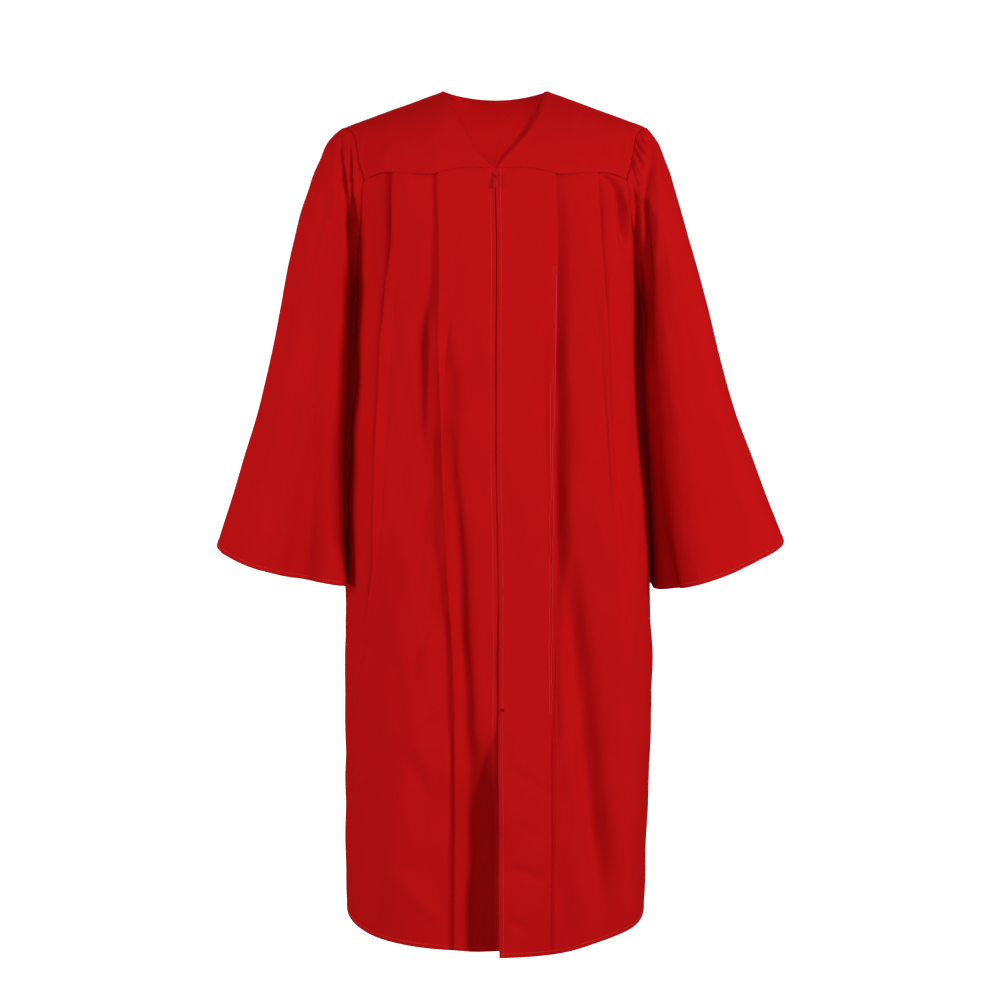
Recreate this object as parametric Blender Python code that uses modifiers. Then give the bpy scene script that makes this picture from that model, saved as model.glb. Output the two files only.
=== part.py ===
"""Graduation gown: a long, hollow, worn gown with a V neck, yoke, knife pleats and bell sleeves.

Metres, +Z up. The origin is midway between the two points where the shoulder seams meet the neck.
The gown faces -Y, and the wearer's left is +X. Every cloth piece is an open surface with a wall.
"""
import bpy
import bmesh
import numpy as np
from math import asin, degrees, pi, radians

# Driving dimensions
SIDE_TURN = radians(89.999)  # the side seam, just short of a quarter turn
CLOTH = 0.0013              # thickness of a cloth wall
SEAM_GAP = 0.0007           # space left at a seam between two pieces
FOLD_GAP = 0.0027           # distance between the two layers of a pressed pleat
OPEN_GAP = 0.0070           # how much further apart the layers are where a pleat runs out
FOLD_ROUND = 0.0030         # how far a fold's rounding reaches along the cloth
OPEN_FOOT = 0.0080          # how far that ridge's foot reaches to each side
PARTING = (0.001, 0.011)    # flap widths at which the layers are wholly parted and closed
UNDER_STEP = 0.3            # sideways step of the cloth under a flap, as a share of FOLD_GAP
LAP = 0.006                 # how far a panel runs up behind the yoke
LAP_DEPTH = 0.0022          # how far behind the yoke it lies there
LAP_SINK = (0.0130, 0.0185) # places across where it starts and ends sinking behind the yoke
LAP_SPAN = (0.020, 0.034, 0.165, 0.190)  # and where the lap starts, is whole, fades and ends
SEAM_EASE = 0.12            # share of a panel's height over which it takes up the seam's line
HEM_EASE = 0.15             # the same for the hem's line
SOFT_GROWN = 0.45           # share of a soft fold's length at which it is whole
SOFT_FADE = 0.7             # and at which it starts to fade
SHELF = 0.0025              # how far the cloth under a flap runs on flat beyond its crest
PLACKET = 0.0150            # flat strip along each middle edge
NECK_HALF = 0.077           # half the neck width at the shoulder
SHOULDER_HALF = 0.2246      # half the shoulder width, at the sleeve seams
SHOULDER_DROP = 0.0528      # fall of the shoulder seam from neck to sleeve
NECK_DEPTH = 0.1137         # depth of the front V
BACK_NECK_DROP = 0.0110     # depth of the back neckline
UNDERARM = -0.300           # height of the armhole's lowest point
ROUNDNESS = 2.4             # exponent of the body's oval, 2 for an ellipse
FRONT_DOME = 0.160          # height over which the front rounds off towards the shoulder seam
BACK_DOME = 0.090           # the same at the back
FRONT_EDGE = 0.0012         # half the space between the fronts along the zip
ZIP_TOP = -0.1180
ZIP_END = -0.9160
TAPE_WIDTH = 0.0240
TAPE_THICKNESS = 0.0010
SLIDER_Z = -0.1245          # height of the closed slider's middle
SLIDER_CLEAR = 0.0003       # space under the slider's plate and stem
SLIDER_PLATE = (0.0072, 0.0012, 0.0095)
STEM = (0.0014, 0.0060)     # the slider's stem between the fronts: width and height
BRIDGE = (0.0022, 0.0024, 0.0044)
BRIDGE_SUNK = 0.0003        # how deep the bridge's feet are set in the plate
EYE = (0.0017, 0.0024)      # the bridge's opening: depth and height
PULL_BAR = 0.0010           # the pull's bar inside the bridge
PULL_EYE = (0.0034, 0.0032)
PULL_HALF = (0.0027, 0.0034)
PULL_LENGTH = 0.0185
PULL_THICKNESS = 0.0010
WELD = 0.00002              # distance within which the pull's loose caps are joined
RED = (0.480, 0.006, 0.007)


def table(names, *rows):
    """A table's rows as one array for each named column."""
    return dict(zip(names.split(), np.array(rows, dtype=float).T))


def smooth(rows, name, at, key="z"):
    """A column's value at the given places, through the rows on a curve that never overshoots."""
    order = np.argsort(rows[key])
    places, values = rows[key][order], rows[name][order]
    steps = np.diff(places)
    slopes = np.diff(values) / steps
    product = slopes[:-1] * slopes[1:]
    total = slopes[:-1] + slopes[1:]
    middle = np.where(product > 0, 2 * product / np.where(total == 0, 1, total), 0)
    tangents = np.concatenate(([slopes[0]], middle, [slopes[-1]]))
    at = np.clip(at, places[0], places[-1])
    k = np.clip(np.searchsorted(places, at) - 1, 0, len(steps) - 1)
    t = (at - places[k]) / steps[k]
    start = values[k] + t * steps[k] * tangents[k]
    end = values[k + 1] - (1 - t) * steps[k] * tangents[k + 1]
    ease = t * t * (3 - 2 * t)
    return start * (1 - ease) + end * ease


def step(low, high, value):
    """0 below low, 1 above high, and a soft step between."""
    t = np.clip((value - low) / (high - low), 0, 1)
    return t * t * (3 - 2 * t)


# Body ovals, by height
BODY = table(
    "z half_width front_depth back_depth sway",
    (0.000, 0.2320, 0.118, 0.105, 0.000),
    (-0.130, 0.2245, 0.120, 0.106, 0.000),
    (-0.236, 0.2125, 0.124, 0.109, 0.002),
    (-0.380, 0.2125, 0.131, 0.116, 0.001),
    (-0.514, 0.2220, 0.138, 0.125, 0.001),
    (-0.652, 0.2325, 0.145, 0.135, 0.003),
    (-0.763, 0.2370, 0.151, 0.145, 0.004),
    (-1.000, 0.2400, 0.166, 0.165, 0.003),
    (-1.203, 0.2380, 0.179, 0.180, 0.000),
    (-1.300, 0.2335, 0.185, 0.185, -0.001),
)
# One side of the V neck, from the shoulder down
NECKLINE = table(
    "z x",
    (0.0000, 0.0770),
    (-0.0170, 0.0685),
    (-0.0540, 0.0495),
    (-0.0720, 0.0380),
    (-0.0910, 0.0215),
    (-0.1137, 0.0012),
)
# The seam between the front yoke and the fronts, from the middle outwards
YOKE_SEAM = table(
    "x z",
    (0.0000, -0.1137),
    (0.0280, -0.1120),
    (0.0760, -0.1175),
    (0.0960, -0.1220),
    (0.1300, -0.1203),
    (0.1550, -0.1195),
    (0.1950, -0.1300),
)
BACK_SEAM = table("x z", (0.0000, -0.1400), (0.1000, -0.1380), (0.2100, -0.1300))
TIP_SHARE = SHOULDER_HALF / float(smooth(BODY, "half_width", -SHOULDER_DROP))
TIP_TURN = degrees(asin(TIP_SHARE ** (ROUNDNESS / 2)))
# Armholes, as the turn in degrees from the middle of the front or back
ARMHOLE_FRONT = table(
    "z turn",
    (-SHOULDER_DROP, TIP_TURN),
    (-0.0600, 67.5),
    (-0.0700, 63.5),
    (-0.0880, 61.8),
    (-0.1120, 59.8),
    (-0.1300, 57.2),
    (-0.1520, 60.0),
    (-0.1850, 65.0),
    (-0.2260, 74.0),
    (-0.2650, 82.0),
    (UNDERARM, 90.0),
)
ARMHOLE_BACK = table(
    "z turn",
    (-SHOULDER_DROP, TIP_TURN),
    (-0.0900, 70.0),
    (-0.1300, 66.0),
    (-0.1700, 67.0),
    (-0.2100, 72.0),
    (-0.2600, 81.0),
    (UNDERARM, 90.0),
)
# Pleats, by height: the crest is the visible folded edge, its flap is width wide and leans
# from 0, flat and facing outwards, through 90, standing, to over 90, leaning to the middle
PLEAT = "z crest_x width lean crest_out"
PLEATS = {
    "front_right": (
        table(
            PLEAT,
            (-0.115, 0.0845, 0.025, 0, 0.000),
            (-0.250, 0.0842, 0.023, 6, 0.003),
            (-0.340, 0.0838, 0.018, 34, 0.008),
            (-0.420, 0.0800, 0.013, 76, 0.010),
            (-0.520, 0.0770, 0.011, 98, 0.010),
            (-0.700, 0.0715, 0.011, 104, 0.010),
            (-0.930, 0.0606, 0.011, 106, 0.011),
            (-1.290, 0.0570, 0.011, 108, 0.010),
        ),
        table(
            PLEAT,
            (-0.115, 0.1510, 0.024, 0, 0.000),
            (-0.225, 0.1560, 0.023, 8, 0.003),
            (-0.310, 0.1670, 0.020, 18, 0.007),
            (-0.500, 0.1745, 0.016, 32, 0.009),
            (-0.700, 0.1880, 0.011, 50, 0.008),
            (-0.830, 0.2040, 0.006, 70, 0.005),
            (-0.920, 0.2150, 0.002, 88, 0.002),
            (-1.290, 0.2180, 0.000, 90, 0.000),
        ),
    ),
    "front_left": (
        table(
            PLEAT,
            (-0.115, 0.0885, 0.025, 0, 0.000),
            (-0.300, 0.0893, 0.022, 14, 0.004),
            (-0.500, 0.0868, 0.017, 32, 0.009),
            (-0.780, 0.0858, 0.012, 52, 0.011),
            (-1.000, 0.0868, 0.009, 65, 0.010),
            (-1.290, 0.0889, 0.007, 75, 0.008),
        ),
        table(
            PLEAT,
            (-0.115, 0.1505, 0.024, 0, 0.000),
            (-0.210, 0.1530, 0.023, 10, 0.005),
            (-0.320, 0.1610, 0.018, 24, 0.010),
            (-0.450, 0.1670, 0.013, 42, 0.011),
            (-0.550, 0.1700, 0.008, 65, 0.008),
            (-0.700, 0.1740, 0.002, 88, 0.005),
            (-1.290, 0.1780, 0.000, 90, 0.000),
        ),
    ),
    "back_right": (
        table(
            PLEAT,
            (-0.130, 0.0780, 0.025, 0, 0.000),
            (-0.400, 0.0820, 0.021, 12, 0.004),
            (-0.650, 0.0880, 0.014, 40, 0.007),
            (-0.900, 0.0960, 0.008, 70, 0.006),
            (-1.290, 0.1040, 0.003, 88, 0.004),
        ),
        table(
            PLEAT,
            (-0.130, 0.1480, 0.024, 0, 0.000),
            (-0.360, 0.1560, 0.019, 14, 0.004),
            (-0.560, 0.1650, 0.010, 50, 0.005),
            (-0.800, 0.1780, 0.002, 88, 0.003),
            (-1.290, 0.1860, 0.000, 90, 0.000),
        ),
    ),
    "back_left": (
        table(
            PLEAT,
            (-0.130, 0.0800, 0.025, 0, 0.000),
            (-0.360, 0.0830, 0.022, 10, 0.004),
            (-0.600, 0.0860, 0.015, 35, 0.007),
            (-0.850, 0.0900, 0.009, 65, 0.007),
            (-1.290, 0.0980, 0.004, 85, 0.005),
        ),
        table(
            PLEAT,
            (-0.130, 0.1500, 0.024, 0, 0.000),
            (-0.340, 0.1590, 0.018, 16, 0.004),
            (-0.500, 0.1660, 0.011, 45, 0.005),
            (-0.740, 0.1760, 0.002, 88, 0.003),
            (-1.290, 0.1840, 0.000, 90, 0.000),
        ),
    ),
}
# Soft folds of the fronts and back: a trough (height below 0) or ridge from its top to its bottom.
# at_hem is 1 where it runs out through the hem
SOFT = "z_top x_top z_end x_end half_width height at_hem"
SOFT_FOLDS = {
    "front_right": table(
        SOFT,
        (-0.340, 0.0700, -1.290, 0.0400, 0.0130, -0.012, 1),
        (-0.940, 0.0300, -1.290, 0.0240, 0.0240, -0.022, 1),
        (-0.240, 0.1000, -0.560, 0.1060, 0.0100, -0.005, 0),
        (-0.700, 0.1150, -1.290, 0.1500, 0.0400, 0.006, 1),
    ),
    "front_left": table(
        SOFT,
        (-0.260, 0.0960, -0.860, 0.1040, 0.0110, -0.010, 0),
        (-0.600, 0.0990, -1.300, 0.1740, 0.0190, -0.022, 0),
        (-0.420, 0.1740, -1.290, 0.2000, 0.0260, 0.007, 1),
        (-0.700, 0.0400, -1.290, 0.0450, 0.0400, 0.005, 1),
    ),
    "back_right": table(
        SOFT,
        (-0.450, 0.0300, -1.290, 0.0400, 0.0280, -0.012, 1),
        (-0.500, 0.1200, -1.290, 0.1480, 0.0240, -0.014, 1),
        (-0.600, 0.1800, -1.290, 0.1950, 0.0200, 0.006, 1),
    ),
    "back_left": table(
        SOFT,
        (-0.520, 0.0260, -1.290, 0.0300, 0.0260, -0.010, 1),
        (-0.420, 0.1180, -1.290, 0.1400, 0.0260, -0.015, 1),
        (-0.650, 0.1760, -1.290, 0.1900, 0.0220, 0.007, 1),
    ),
}
# The fronts' middle edges, by height: place across, measured to the wearer's side, and depth
FRONT_EDGES = {
    "front_right": table(
        "z x out",
        (-0.115, FRONT_EDGE, 0.000),
        (-0.925, FRONT_EDGE, 0.000),
        (-1.000, 0.0004, -0.011),
        (-1.060, -0.0020, -0.017),
        (-1.100, -0.0050, -0.019),
        (-1.290, -0.0120, -0.022),
    ),
    "front_left": table(
        "z x out",
        (-0.115, FRONT_EDGE, 0.000),
        (-0.925, FRONT_EDGE, 0.000),
        (-1.100, 0.0035, 0.004),
        (-1.290, 0.0065, 0.007),
    ),
}
# Hem heights, from the middle outwards
HEMS = {
    "front_right": table("x z", (-0.020, -1.2800), (0.060, -1.2815), (0.158, -1.2800), (0.240, -1.2740)),
    "front_left": table("x z", (0.000, -1.2930), (0.080, -1.2900), (0.158, -1.2810), (0.240, -1.2720)),
    "back": table("x z", (0.000, -1.2800), (0.120, -1.2790), (0.240, -1.2730)),
}
# Sleeves, by share of their length: outer and inner edges seen from the front, and their depths
SLEEVE = table(
    "share right_z left_z right_x left_x right_in left_in inner_x front back",
    (0.00, -0.0528, -0.0528, 0.2246, 0.2246, -0.300, -0.300, 0.2150, 0.062, 0.060),
    (0.03, -0.0640, -0.0640, 0.2420, 0.2360, -0.318, -0.318, 0.2185, 0.064, 0.063),
    (0.08, -0.1000, -0.1000, 0.2632, 0.2545, -0.345, -0.345, 0.2205, 0.067, 0.068),
    (0.15, -0.1450, -0.1450, 0.2815, 0.2700, -0.380, -0.380, 0.2210, 0.070, 0.074),
    (0.25, -0.2150, -0.2150, 0.3050, 0.2900, -0.430, -0.430, 0.2235, 0.074, 0.082),
    (0.40, -0.3200, -0.3200, 0.3285, 0.3215, -0.509, -0.509, 0.2290, 0.080, 0.092),
    (0.58, -0.4300, -0.4300, 0.3530, 0.3500, -0.596, -0.596, 0.2350, 0.088, 0.104),
    (0.78, -0.5600, -0.5580, 0.3910, 0.3960, -0.689, -0.693, 0.2405, 0.096, 0.114),
    (1.00, -0.6880, -0.6810, 0.4331, 0.4451, -0.742, -0.757, 0.2435, 0.102, 0.120),
)
# Folds that grow down a sleeve: turn round it in degrees, 0 at its outer edge and 90 in front
BELL = "turn_top turn_end half_width height start"
BELL_FOLDS = {
    "right": table(
        BELL,
        (98, 122, 15, -0.014, 0.32),
        (150, 146, 14, 0.034, 0.15),
        (60, 78, 20, 0.005, 0.35),
        (-70, -62, 20, -0.016, 0.30),
        (-120, -128, 20, -0.018, 0.25),
    ),
    "left": table(
        BELL,
        (106, 100, 22, 0.008, 0.10),
        (152, 146, 15, -0.022, 0.35),
        (60, 66, 20, -0.004, 0.40),
        (-66, -74, 20, -0.015, 0.30),
        (-116, -122, 22, -0.019, 0.25),
    ),
}
CUFF_LEVEL = 0.7            # how far folds near the cuff are kept from lifting its edge, and where
CUFF_SHARES = (0.5, 0.95)
GATHERS = 7                 # gathers over the head of each sleeve
GATHER_HEIGHT = 0.0035
GATHER_SHARES = (0.03, 0.05, 0.24)  # where they have grown, start to fade and end, by length
GATHER_PITCH = 1.6
GATHER_REACH = (125, 85)    # turn at which they end and at which they are whole
BACK_EASE = 0.010           # how far, as a turn, the back stays clear of the sleeve's seam
BACK_EASE_RISE = 0.030      # height above the underarm by which it does so in full
HEAD_STEP = 0.0017          # space between the armhole's edge and the sleeve's edge,
HEAD_OUT = 0.55             # its share sideways
HEAD_IN = 0.83              # and its share towards the armhole's middle
HEAD_BLEND = 0.16           # share of the length over which the head's shape turns into an oval
OVAL_POWER = 0.9            # exponent of that oval, 1 for an ellipse
UNDERARM_STEP = 0.0018      # extra space sideways under the arm
BACK_SWING = 0.50           # how far a sleeve's inner side reaches in behind the back, as a share
                            # of the sleeve's depth there, and the length over which it starts
SWING_GROWN = 0.12

# Mesh density
PANEL_ROWS = (0, 0.02, 0.04, 0.065, 0.095, 0.13, 0.17, 0.22, 0.29, 0.37, 0.46, 0.57, 0.695, 0.8, 0.9, 1)
SLEEVE_ROWS = (0, 0.012, 0.035, 0.07, 0.12, 0.19, 0.29, 0.42, 0.57, 0.73, 0.88, 1)
SLEEVE_COLUMNS = 46


def shoulder_line(x):
    """Height of the shoulder seam above a place across, level over the neck."""
    slope = SHOULDER_DROP / (SHOULDER_HALF - NECK_HALF)
    return -slope * np.maximum(np.abs(x) - NECK_HALF, 0)


def body_surface(turn, z):
    """The body's outside: turn is 0 in front, a quarter turn at the wearer's left, pi behind."""
    across, along = np.sin(turn), np.cos(turn)
    power = 2 / ROUNDNESS
    x = smooth(BODY, "half_width", z) * np.sign(across) * np.abs(across) ** power
    front = along >= 0
    depth = np.where(front, smooth(BODY, "front_depth", z), smooth(BODY, "back_depth", z))
    below = np.clip((shoulder_line(x) - z) / np.where(front, FRONT_DOME, BACK_DOME), 0, 1)
    dome = np.sqrt(1 - (1 - below) ** 2)
    reach = depth * np.abs(along) ** power * dome + SEAM_GAP / 2
    return np.stack((x + smooth(BODY, "sway", z), np.where(front, -reach, reach), z + 0 * x), -1)


def body_outward(turn, z):
    """Unit direction pointing out of the body's surface."""
    nudge = 0.004
    around = body_surface(turn + nudge, z) - body_surface(turn - nudge, z)
    up = body_surface(turn, z + nudge) - body_surface(turn, z - nudge)
    out = np.cross(around, up)
    return out / np.linalg.norm(out, axis=-1, keepdims=True)


def turn_at(x, z):
    """The turn from the middle at which the body's surface is x to the side."""
    share = np.clip(np.abs(x) / smooth(BODY, "half_width", z), 0, 1)
    return np.sign(x) * np.arcsin(share ** (ROUNDNESS / 2))


SLIDER_AT = tuple(float(v) for v in body_surface(np.array(0.0), np.array(SLIDER_Z)))
SLIDER_OUT = body_outward(np.array(0.0), np.array(SLIDER_Z))
SLIDER_TILT = float(np.arcsin(SLIDER_OUT[2]))
PULL_REACH = CLOTH / 2 + SLIDER_CLEAR + SLIDER_PLATE[1] + EYE[0] / 2
PULL_AXIS = tuple(SLIDER_AT[k] + float(SLIDER_OUT[k]) * PULL_REACH for k in range(3))


def curve_through(control, marks):
    """Quadratic B-spline of control points, at marks counted in spans."""
    count = len(control) - 2
    span = np.clip(marks.astype(int), 0, count - 1)
    t = (marks - span)[:, None]
    first, second, third = control[span], control[span + 1], control[span + 2]
    return 0.5 * ((1 - t) ** 2 * first + (1 + 2 * t - 2 * t * t) * second + t * t * third)


def eased(corners, loose):
    """Control points for a line of corners, with the rounding kept close to each corner.

    loose says for each stretch whether it is long enough to take a control point near each end.
    """
    control = [corners[0] - (corners[1] - corners[0]) * 0.02, corners[0]]
    for k in range(len(corners) - 1):
        start, end = corners[k], corners[k + 1]
        if loose[k]:
            length = max(np.hypot(*(end - start)), 1e-6)
            reach = min(FOLD_ROUND / length, 0.3)
            control += [start + (end - start) * reach, end - (end - start) * reach]
        control.append(end)
    control.append(control[-1] * 2 - control[-2])
    return np.array(control)


def pleated_row(z, start, pleats, end):
    """Corners of one level section as (distance round the body, distance out).

    A pleat's flap has two layers FOLD_GAP apart, from its root to its crest and back. Where it
    runs out, the two part by OPEN_GAP more and leave a soft ridge.
    """
    turns = np.linspace(-0.15, pi / 2 + 0.05, 240)
    ring = body_surface(turns, np.full_like(turns, z))
    lengths = np.concatenate(([0], np.cumsum(np.linalg.norm(np.diff(ring, axis=0), axis=1))))
    lengths -= np.interp(0, turns, lengths)
    first = np.array((np.interp(turn_at(start[0], z), turns, lengths), start[1]))
    corners = [first, first + np.array((PLACKET, 0))]
    loose = [True]
    for pleat in pleats:
        crest_x, width, lean, crest_out = (
            float(smooth(pleat, name, z)) for name in ("crest_x", "width", "lean", "crest_out"))
        lean = radians(lean)
        along = np.array((np.cos(lean), np.sin(lean)))
        opened = 1 - step(*PARTING, width)
        away = np.array((-np.sin(lean), np.cos(lean))) * (FOLD_GAP + OPEN_GAP * opened)
        foot = np.array((OPEN_FOOT * opened, 0))
        crest = np.array((np.interp(turn_at(crest_x, z), turns, lengths), crest_out))
        root = crest - along * width - foot
        drop = np.array((UNDER_STEP * FOLD_GAP, -FOLD_GAP * max(np.cos(lean), 0)))
        under = root - away + foot * 2
        shelf = np.array((max(crest[0], under[0]) + SHELF, (under + drop)[1]))
        corners += [root, crest, crest - away, under, under + drop, shelf]
        loose += [True, True, False, True, False, False]
    corners.append(np.array((np.interp(end[0], turns, lengths), end[1])))
    loose.append(True)
    return corners, loose, turns, lengths


def soft_depth(folds, x, z):
    """Sum of the soft folds' heights: a bell across each fold, eased in and out along it."""
    total = 0 * x
    for k in range(len(folds["z_top"])):
        z_top, x_top, z_end, x_end, half_width, height, at_hem = (folds[n][k] for n in SOFT.split())
        along = np.clip((z_top - z) / (z_top - z_end), 0, 1)
        centre = x_top + (x_end - x_top) * along
        strength = step(0, SOFT_GROWN, along) * np.maximum(1 - step(SOFT_FADE, 1, along), at_hem)
        total = total + height * strength * np.exp(-((x - centre) / half_width) ** 2)
    return total


def panel_rows(half, middle, marks):
    """Points of one half panel, from its yoke seam down to its hem and from its middle outwards."""
    front = half.startswith("front")
    seam = YOKE_SEAM if front else BACK_SEAM
    armhole = ARMHOLE_FRONT if front else ARMHOLE_BACK
    hem = HEMS[half] if front else HEMS["back"]
    side = 1 if half.endswith("left") else -1
    top, bottom = seam["z"][0], hem["z"][0]
    rows = []
    for share in PANEL_ROWS:
        z = top + (bottom - top) * share
        seam_weight = np.clip(1 - share / SEAM_EASE, 0, 1) ** 2
        hem_weight = np.clip(1 - (1 - share) / HEM_EASE, 0, 1) ** 2
        edge_shift = seam_weight * (seam["z"][-1] - top) + hem_weight * (hem["z"][-1] - bottom)
        edge_z = z + edge_shift
        edge_turn = radians(float(smooth(armhole, "turn", edge_z))) if edge_z > UNDERARM else SIDE_TURN
        if not front:
            edge_turn -= BACK_EASE * step(UNDERARM, UNDERARM + BACK_EASE_RISE, edge_z)
        start = (middle(z), 0.0) if not front else (
            float(smooth(middle, "x", z)), float(smooth(middle, "out", z)))
        corners, loose, turns, lengths = pleated_row(z, start, PLEATS[half], (edge_turn, 0.0))
        curve = curve_through(eased(corners, loose), marks)
        curve[0], curve[-1] = corners[0], corners[-1]
        turn = np.interp(curve[:, 0], lengths, turns)
        x = body_surface(turn, np.full_like(turn, z))[:, 0]
        lap = step(*LAP_SPAN[:2], np.abs(x)) * (1 - step(*LAP_SPAN[2:], np.abs(x)))
        lap = lap * (LAP + SEAM_GAP) - SEAM_GAP
        shift = seam_weight * (smooth(seam, "z", np.abs(x), "x") + lap - top)
        shift = shift + hem_weight * (smooth(hem, "z", x if front else np.abs(x), "x") - bottom)
        heights = z + shift
        out = curve[:, 1] + soft_depth(SOFT_FOLDS[half], x, heights)
        out = out - LAP_DEPTH * step(*LAP_SINK, np.abs(x)) * (share == 0)
        facing = turn if front else pi - turn
        place = body_surface(facing, heights)
        normal = body_outward(facing, heights)
        points = place + normal * out[:, None]
        points[:, 0] = side * (points[:, 0] - smooth(BODY, "sway", heights))
        points[:, 0] += smooth(BODY, "sway", heights)
        rows.append(points)
    return np.array(rows)


def pleat_marks(pleats):
    """Where each section is sampled, in spans: each span's ends, and more along the wide stretches."""
    per_pleat = 12
    spans = per_pleat * pleats + 7
    wide = np.array([4.0 + per_pleat * k for k in range(pleats + 1)])
    last = wide[-1] + np.array((0.3, 0.7, 1.3, 1.7))
    return np.unique(np.concatenate((np.arange(spans + 1), wide[:-1] + 0.5, wide[:-1] + 1.5, last)))


def material(name, colour, roughness, metallic=0.0):
    """A plain Principled material."""
    made = bpy.data.materials.new(name)
    made.use_nodes = True
    shader = made.node_tree.nodes["Principled BSDF"]
    shader.inputs["Base Color"].default_value = (*colour, 1)
    shader.inputs["Roughness"].default_value = roughness
    shader.inputs["Metallic"].default_value = metallic
    return made


def place(made, colour, roughness, collection, metallic=0.0):
    """Give an object its own material and put it in the gown's collection."""
    made.data.materials.append(material(made.name, colour, roughness, metallic))
    for owner in list(made.users_collection):
        owner.objects.unlink(made)
    collection.objects.link(made)
    return made


def cloth(name, points, collection, closed=False, thickness=CLOTH):
    """A grid of points as an open surface, given its wall with Solidify."""
    rows, columns = points.shape[:2]
    index = np.arange(rows * columns).reshape(rows, columns)
    if closed:
        index = np.concatenate((index, index[:, :1]), axis=1)
    corners = (index[:-1, :-1], index[1:, :-1], index[1:, 1:], index[:-1, 1:])
    faces = np.stack(corners, -1).reshape(-1, 4)
    mesh = bpy.data.meshes.new(name)
    mesh.from_pydata(points.reshape(-1, 3).tolist(), [], faces.tolist())
    mesh.shade_smooth()
    made = bpy.data.objects.new(name, mesh)
    wall = made.modifiers.new("Wall", "SOLIDIFY")
    wall.thickness = thickness
    wall.offset = 0
    collection.objects.link(made)
    return place(made, RED, 0.62, collection)


def between(points, share):
    """Points along a line of points at shares of its whole length."""
    lengths = np.concatenate(([0], np.cumsum(np.linalg.norm(np.diff(points, axis=0), axis=1))))
    return np.stack([np.interp(share * lengths[-1], lengths, points[:, k]) for k in (0, 1)], -1)


def patch(top, bottom, inner, outer, across, down):
    """Flat patch spanned between four edge lines, its edges met exactly."""
    u, v = across[None, :, None], down[:, None, None]
    top, bottom = between(top, across)[None], between(bottom, across)[None]
    inner, outer = between(inner, down)[:, None], between(outer, down)[:, None]
    sides = inner * (1 - u) + outer * u
    ends = top * (1 - v) + bottom * v
    corners = (top[:, :1] * (1 - u) + top[:, -1:] * u) * (1 - v)
    corners = corners + (bottom[:, :1] * (1 - u) + bottom[:, -1:] * u) * v
    return sides + ends - corners


def armhole_line(rows, low, high, count=24):
    """The armhole seen from the front, as (x, z), between two heights."""
    z = np.linspace(high, low, count)
    turn = np.radians(smooth(rows, "turn", z))
    return np.stack((smooth(BODY, "half_width", z) * np.sin(turn) ** (2 / ROUNDNESS), z), -1)


def front_yoke(name, side, collection):
    """Half the front yoke, drawn flat from the front and laid on the body."""
    x = np.linspace(NECK_HALF, SHOULDER_HALF, 9)
    top = np.stack((x, shoulder_line(x)), -1)
    z = np.linspace(0, -NECK_DEPTH, 16)
    inner = np.stack((smooth(NECKLINE, "x", z), z), -1)
    outer = armhole_line(ARMHOLE_FRONT, YOKE_SEAM["z"][-1], -SHOULDER_DROP)
    x = np.linspace(NECKLINE["x"][-1], outer[-1, 0], 30)
    bottom = np.stack((x, smooth(YOKE_SEAM, "z", x, "x")), -1)
    across = np.linspace(0, 1, 13)
    down = np.linspace(0, 1, 10) ** 1.5
    flat = patch(top, bottom, inner, outer, across, down)
    points = body_surface(turn_at(flat[..., 0], flat[..., 1]), flat[..., 1])
    points[..., 0] *= side
    cloth(name, points[:, ::side], collection)


def back_yoke(collection):
    """The back yoke in one piece from armhole to armhole."""
    count = 9
    neck_x = np.linspace(0, NECK_HALF, count)
    neck = np.stack((neck_x, -BACK_NECK_DROP * (1 - (neck_x / NECK_HALF) ** 2)), -1)
    shoulder_x = np.linspace(NECK_HALF, SHOULDER_HALF, count)
    top = np.concatenate((neck[:-1], np.stack((shoulder_x, shoulder_line(shoulder_x)), -1)))
    outer = armhole_line(ARMHOLE_BACK, BACK_SEAM["z"][-1], -SHOULDER_DROP)
    x = np.linspace(0, outer[-1, 0], 30)
    bottom = np.stack((x, smooth(BACK_SEAM, "z", x, "x")), -1)
    inner = np.stack((0 * neck_x, np.linspace(-BACK_NECK_DROP, BACK_SEAM["z"][0], count)), -1)
    across = np.linspace(0, 1, 14)
    down = np.linspace(0, 1, 10) ** 1.5
    flat = patch(top, bottom, inner, outer, across, down)
    half = body_surface(pi - turn_at(flat[..., 0], flat[..., 1]), flat[..., 1])
    other = half[:, :0:-1] * np.array((-1, 1, 1))
    points = np.concatenate((other, half), axis=1)
    cloth("back_yoke", points[:, ::-1], collection)


def fronts(collection):
    """The two long fronts."""
    marks = pleat_marks(2)
    for name, half in (("front_panel_right", "front_right"), ("front_panel_left", "front_left")):
        points = panel_rows(half, FRONT_EDGES[half], marks)
        if half.endswith("right"):
            points = points[:, ::-1]
        cloth(name, points, collection)


def back(collection):
    """The long back, its two halves joined at the middle."""
    marks = pleat_marks(2)
    left, right = (panel_rows(half, lambda z: 0.0, marks) for half in ("back_left", "back_right"))
    middle = 0.5 * (left[:, :1] + right[:, :1])
    points = np.concatenate((left[:, :0:-1], middle, right[:, 1:]), axis=1)
    cloth("back_panel", points, collection)


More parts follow.
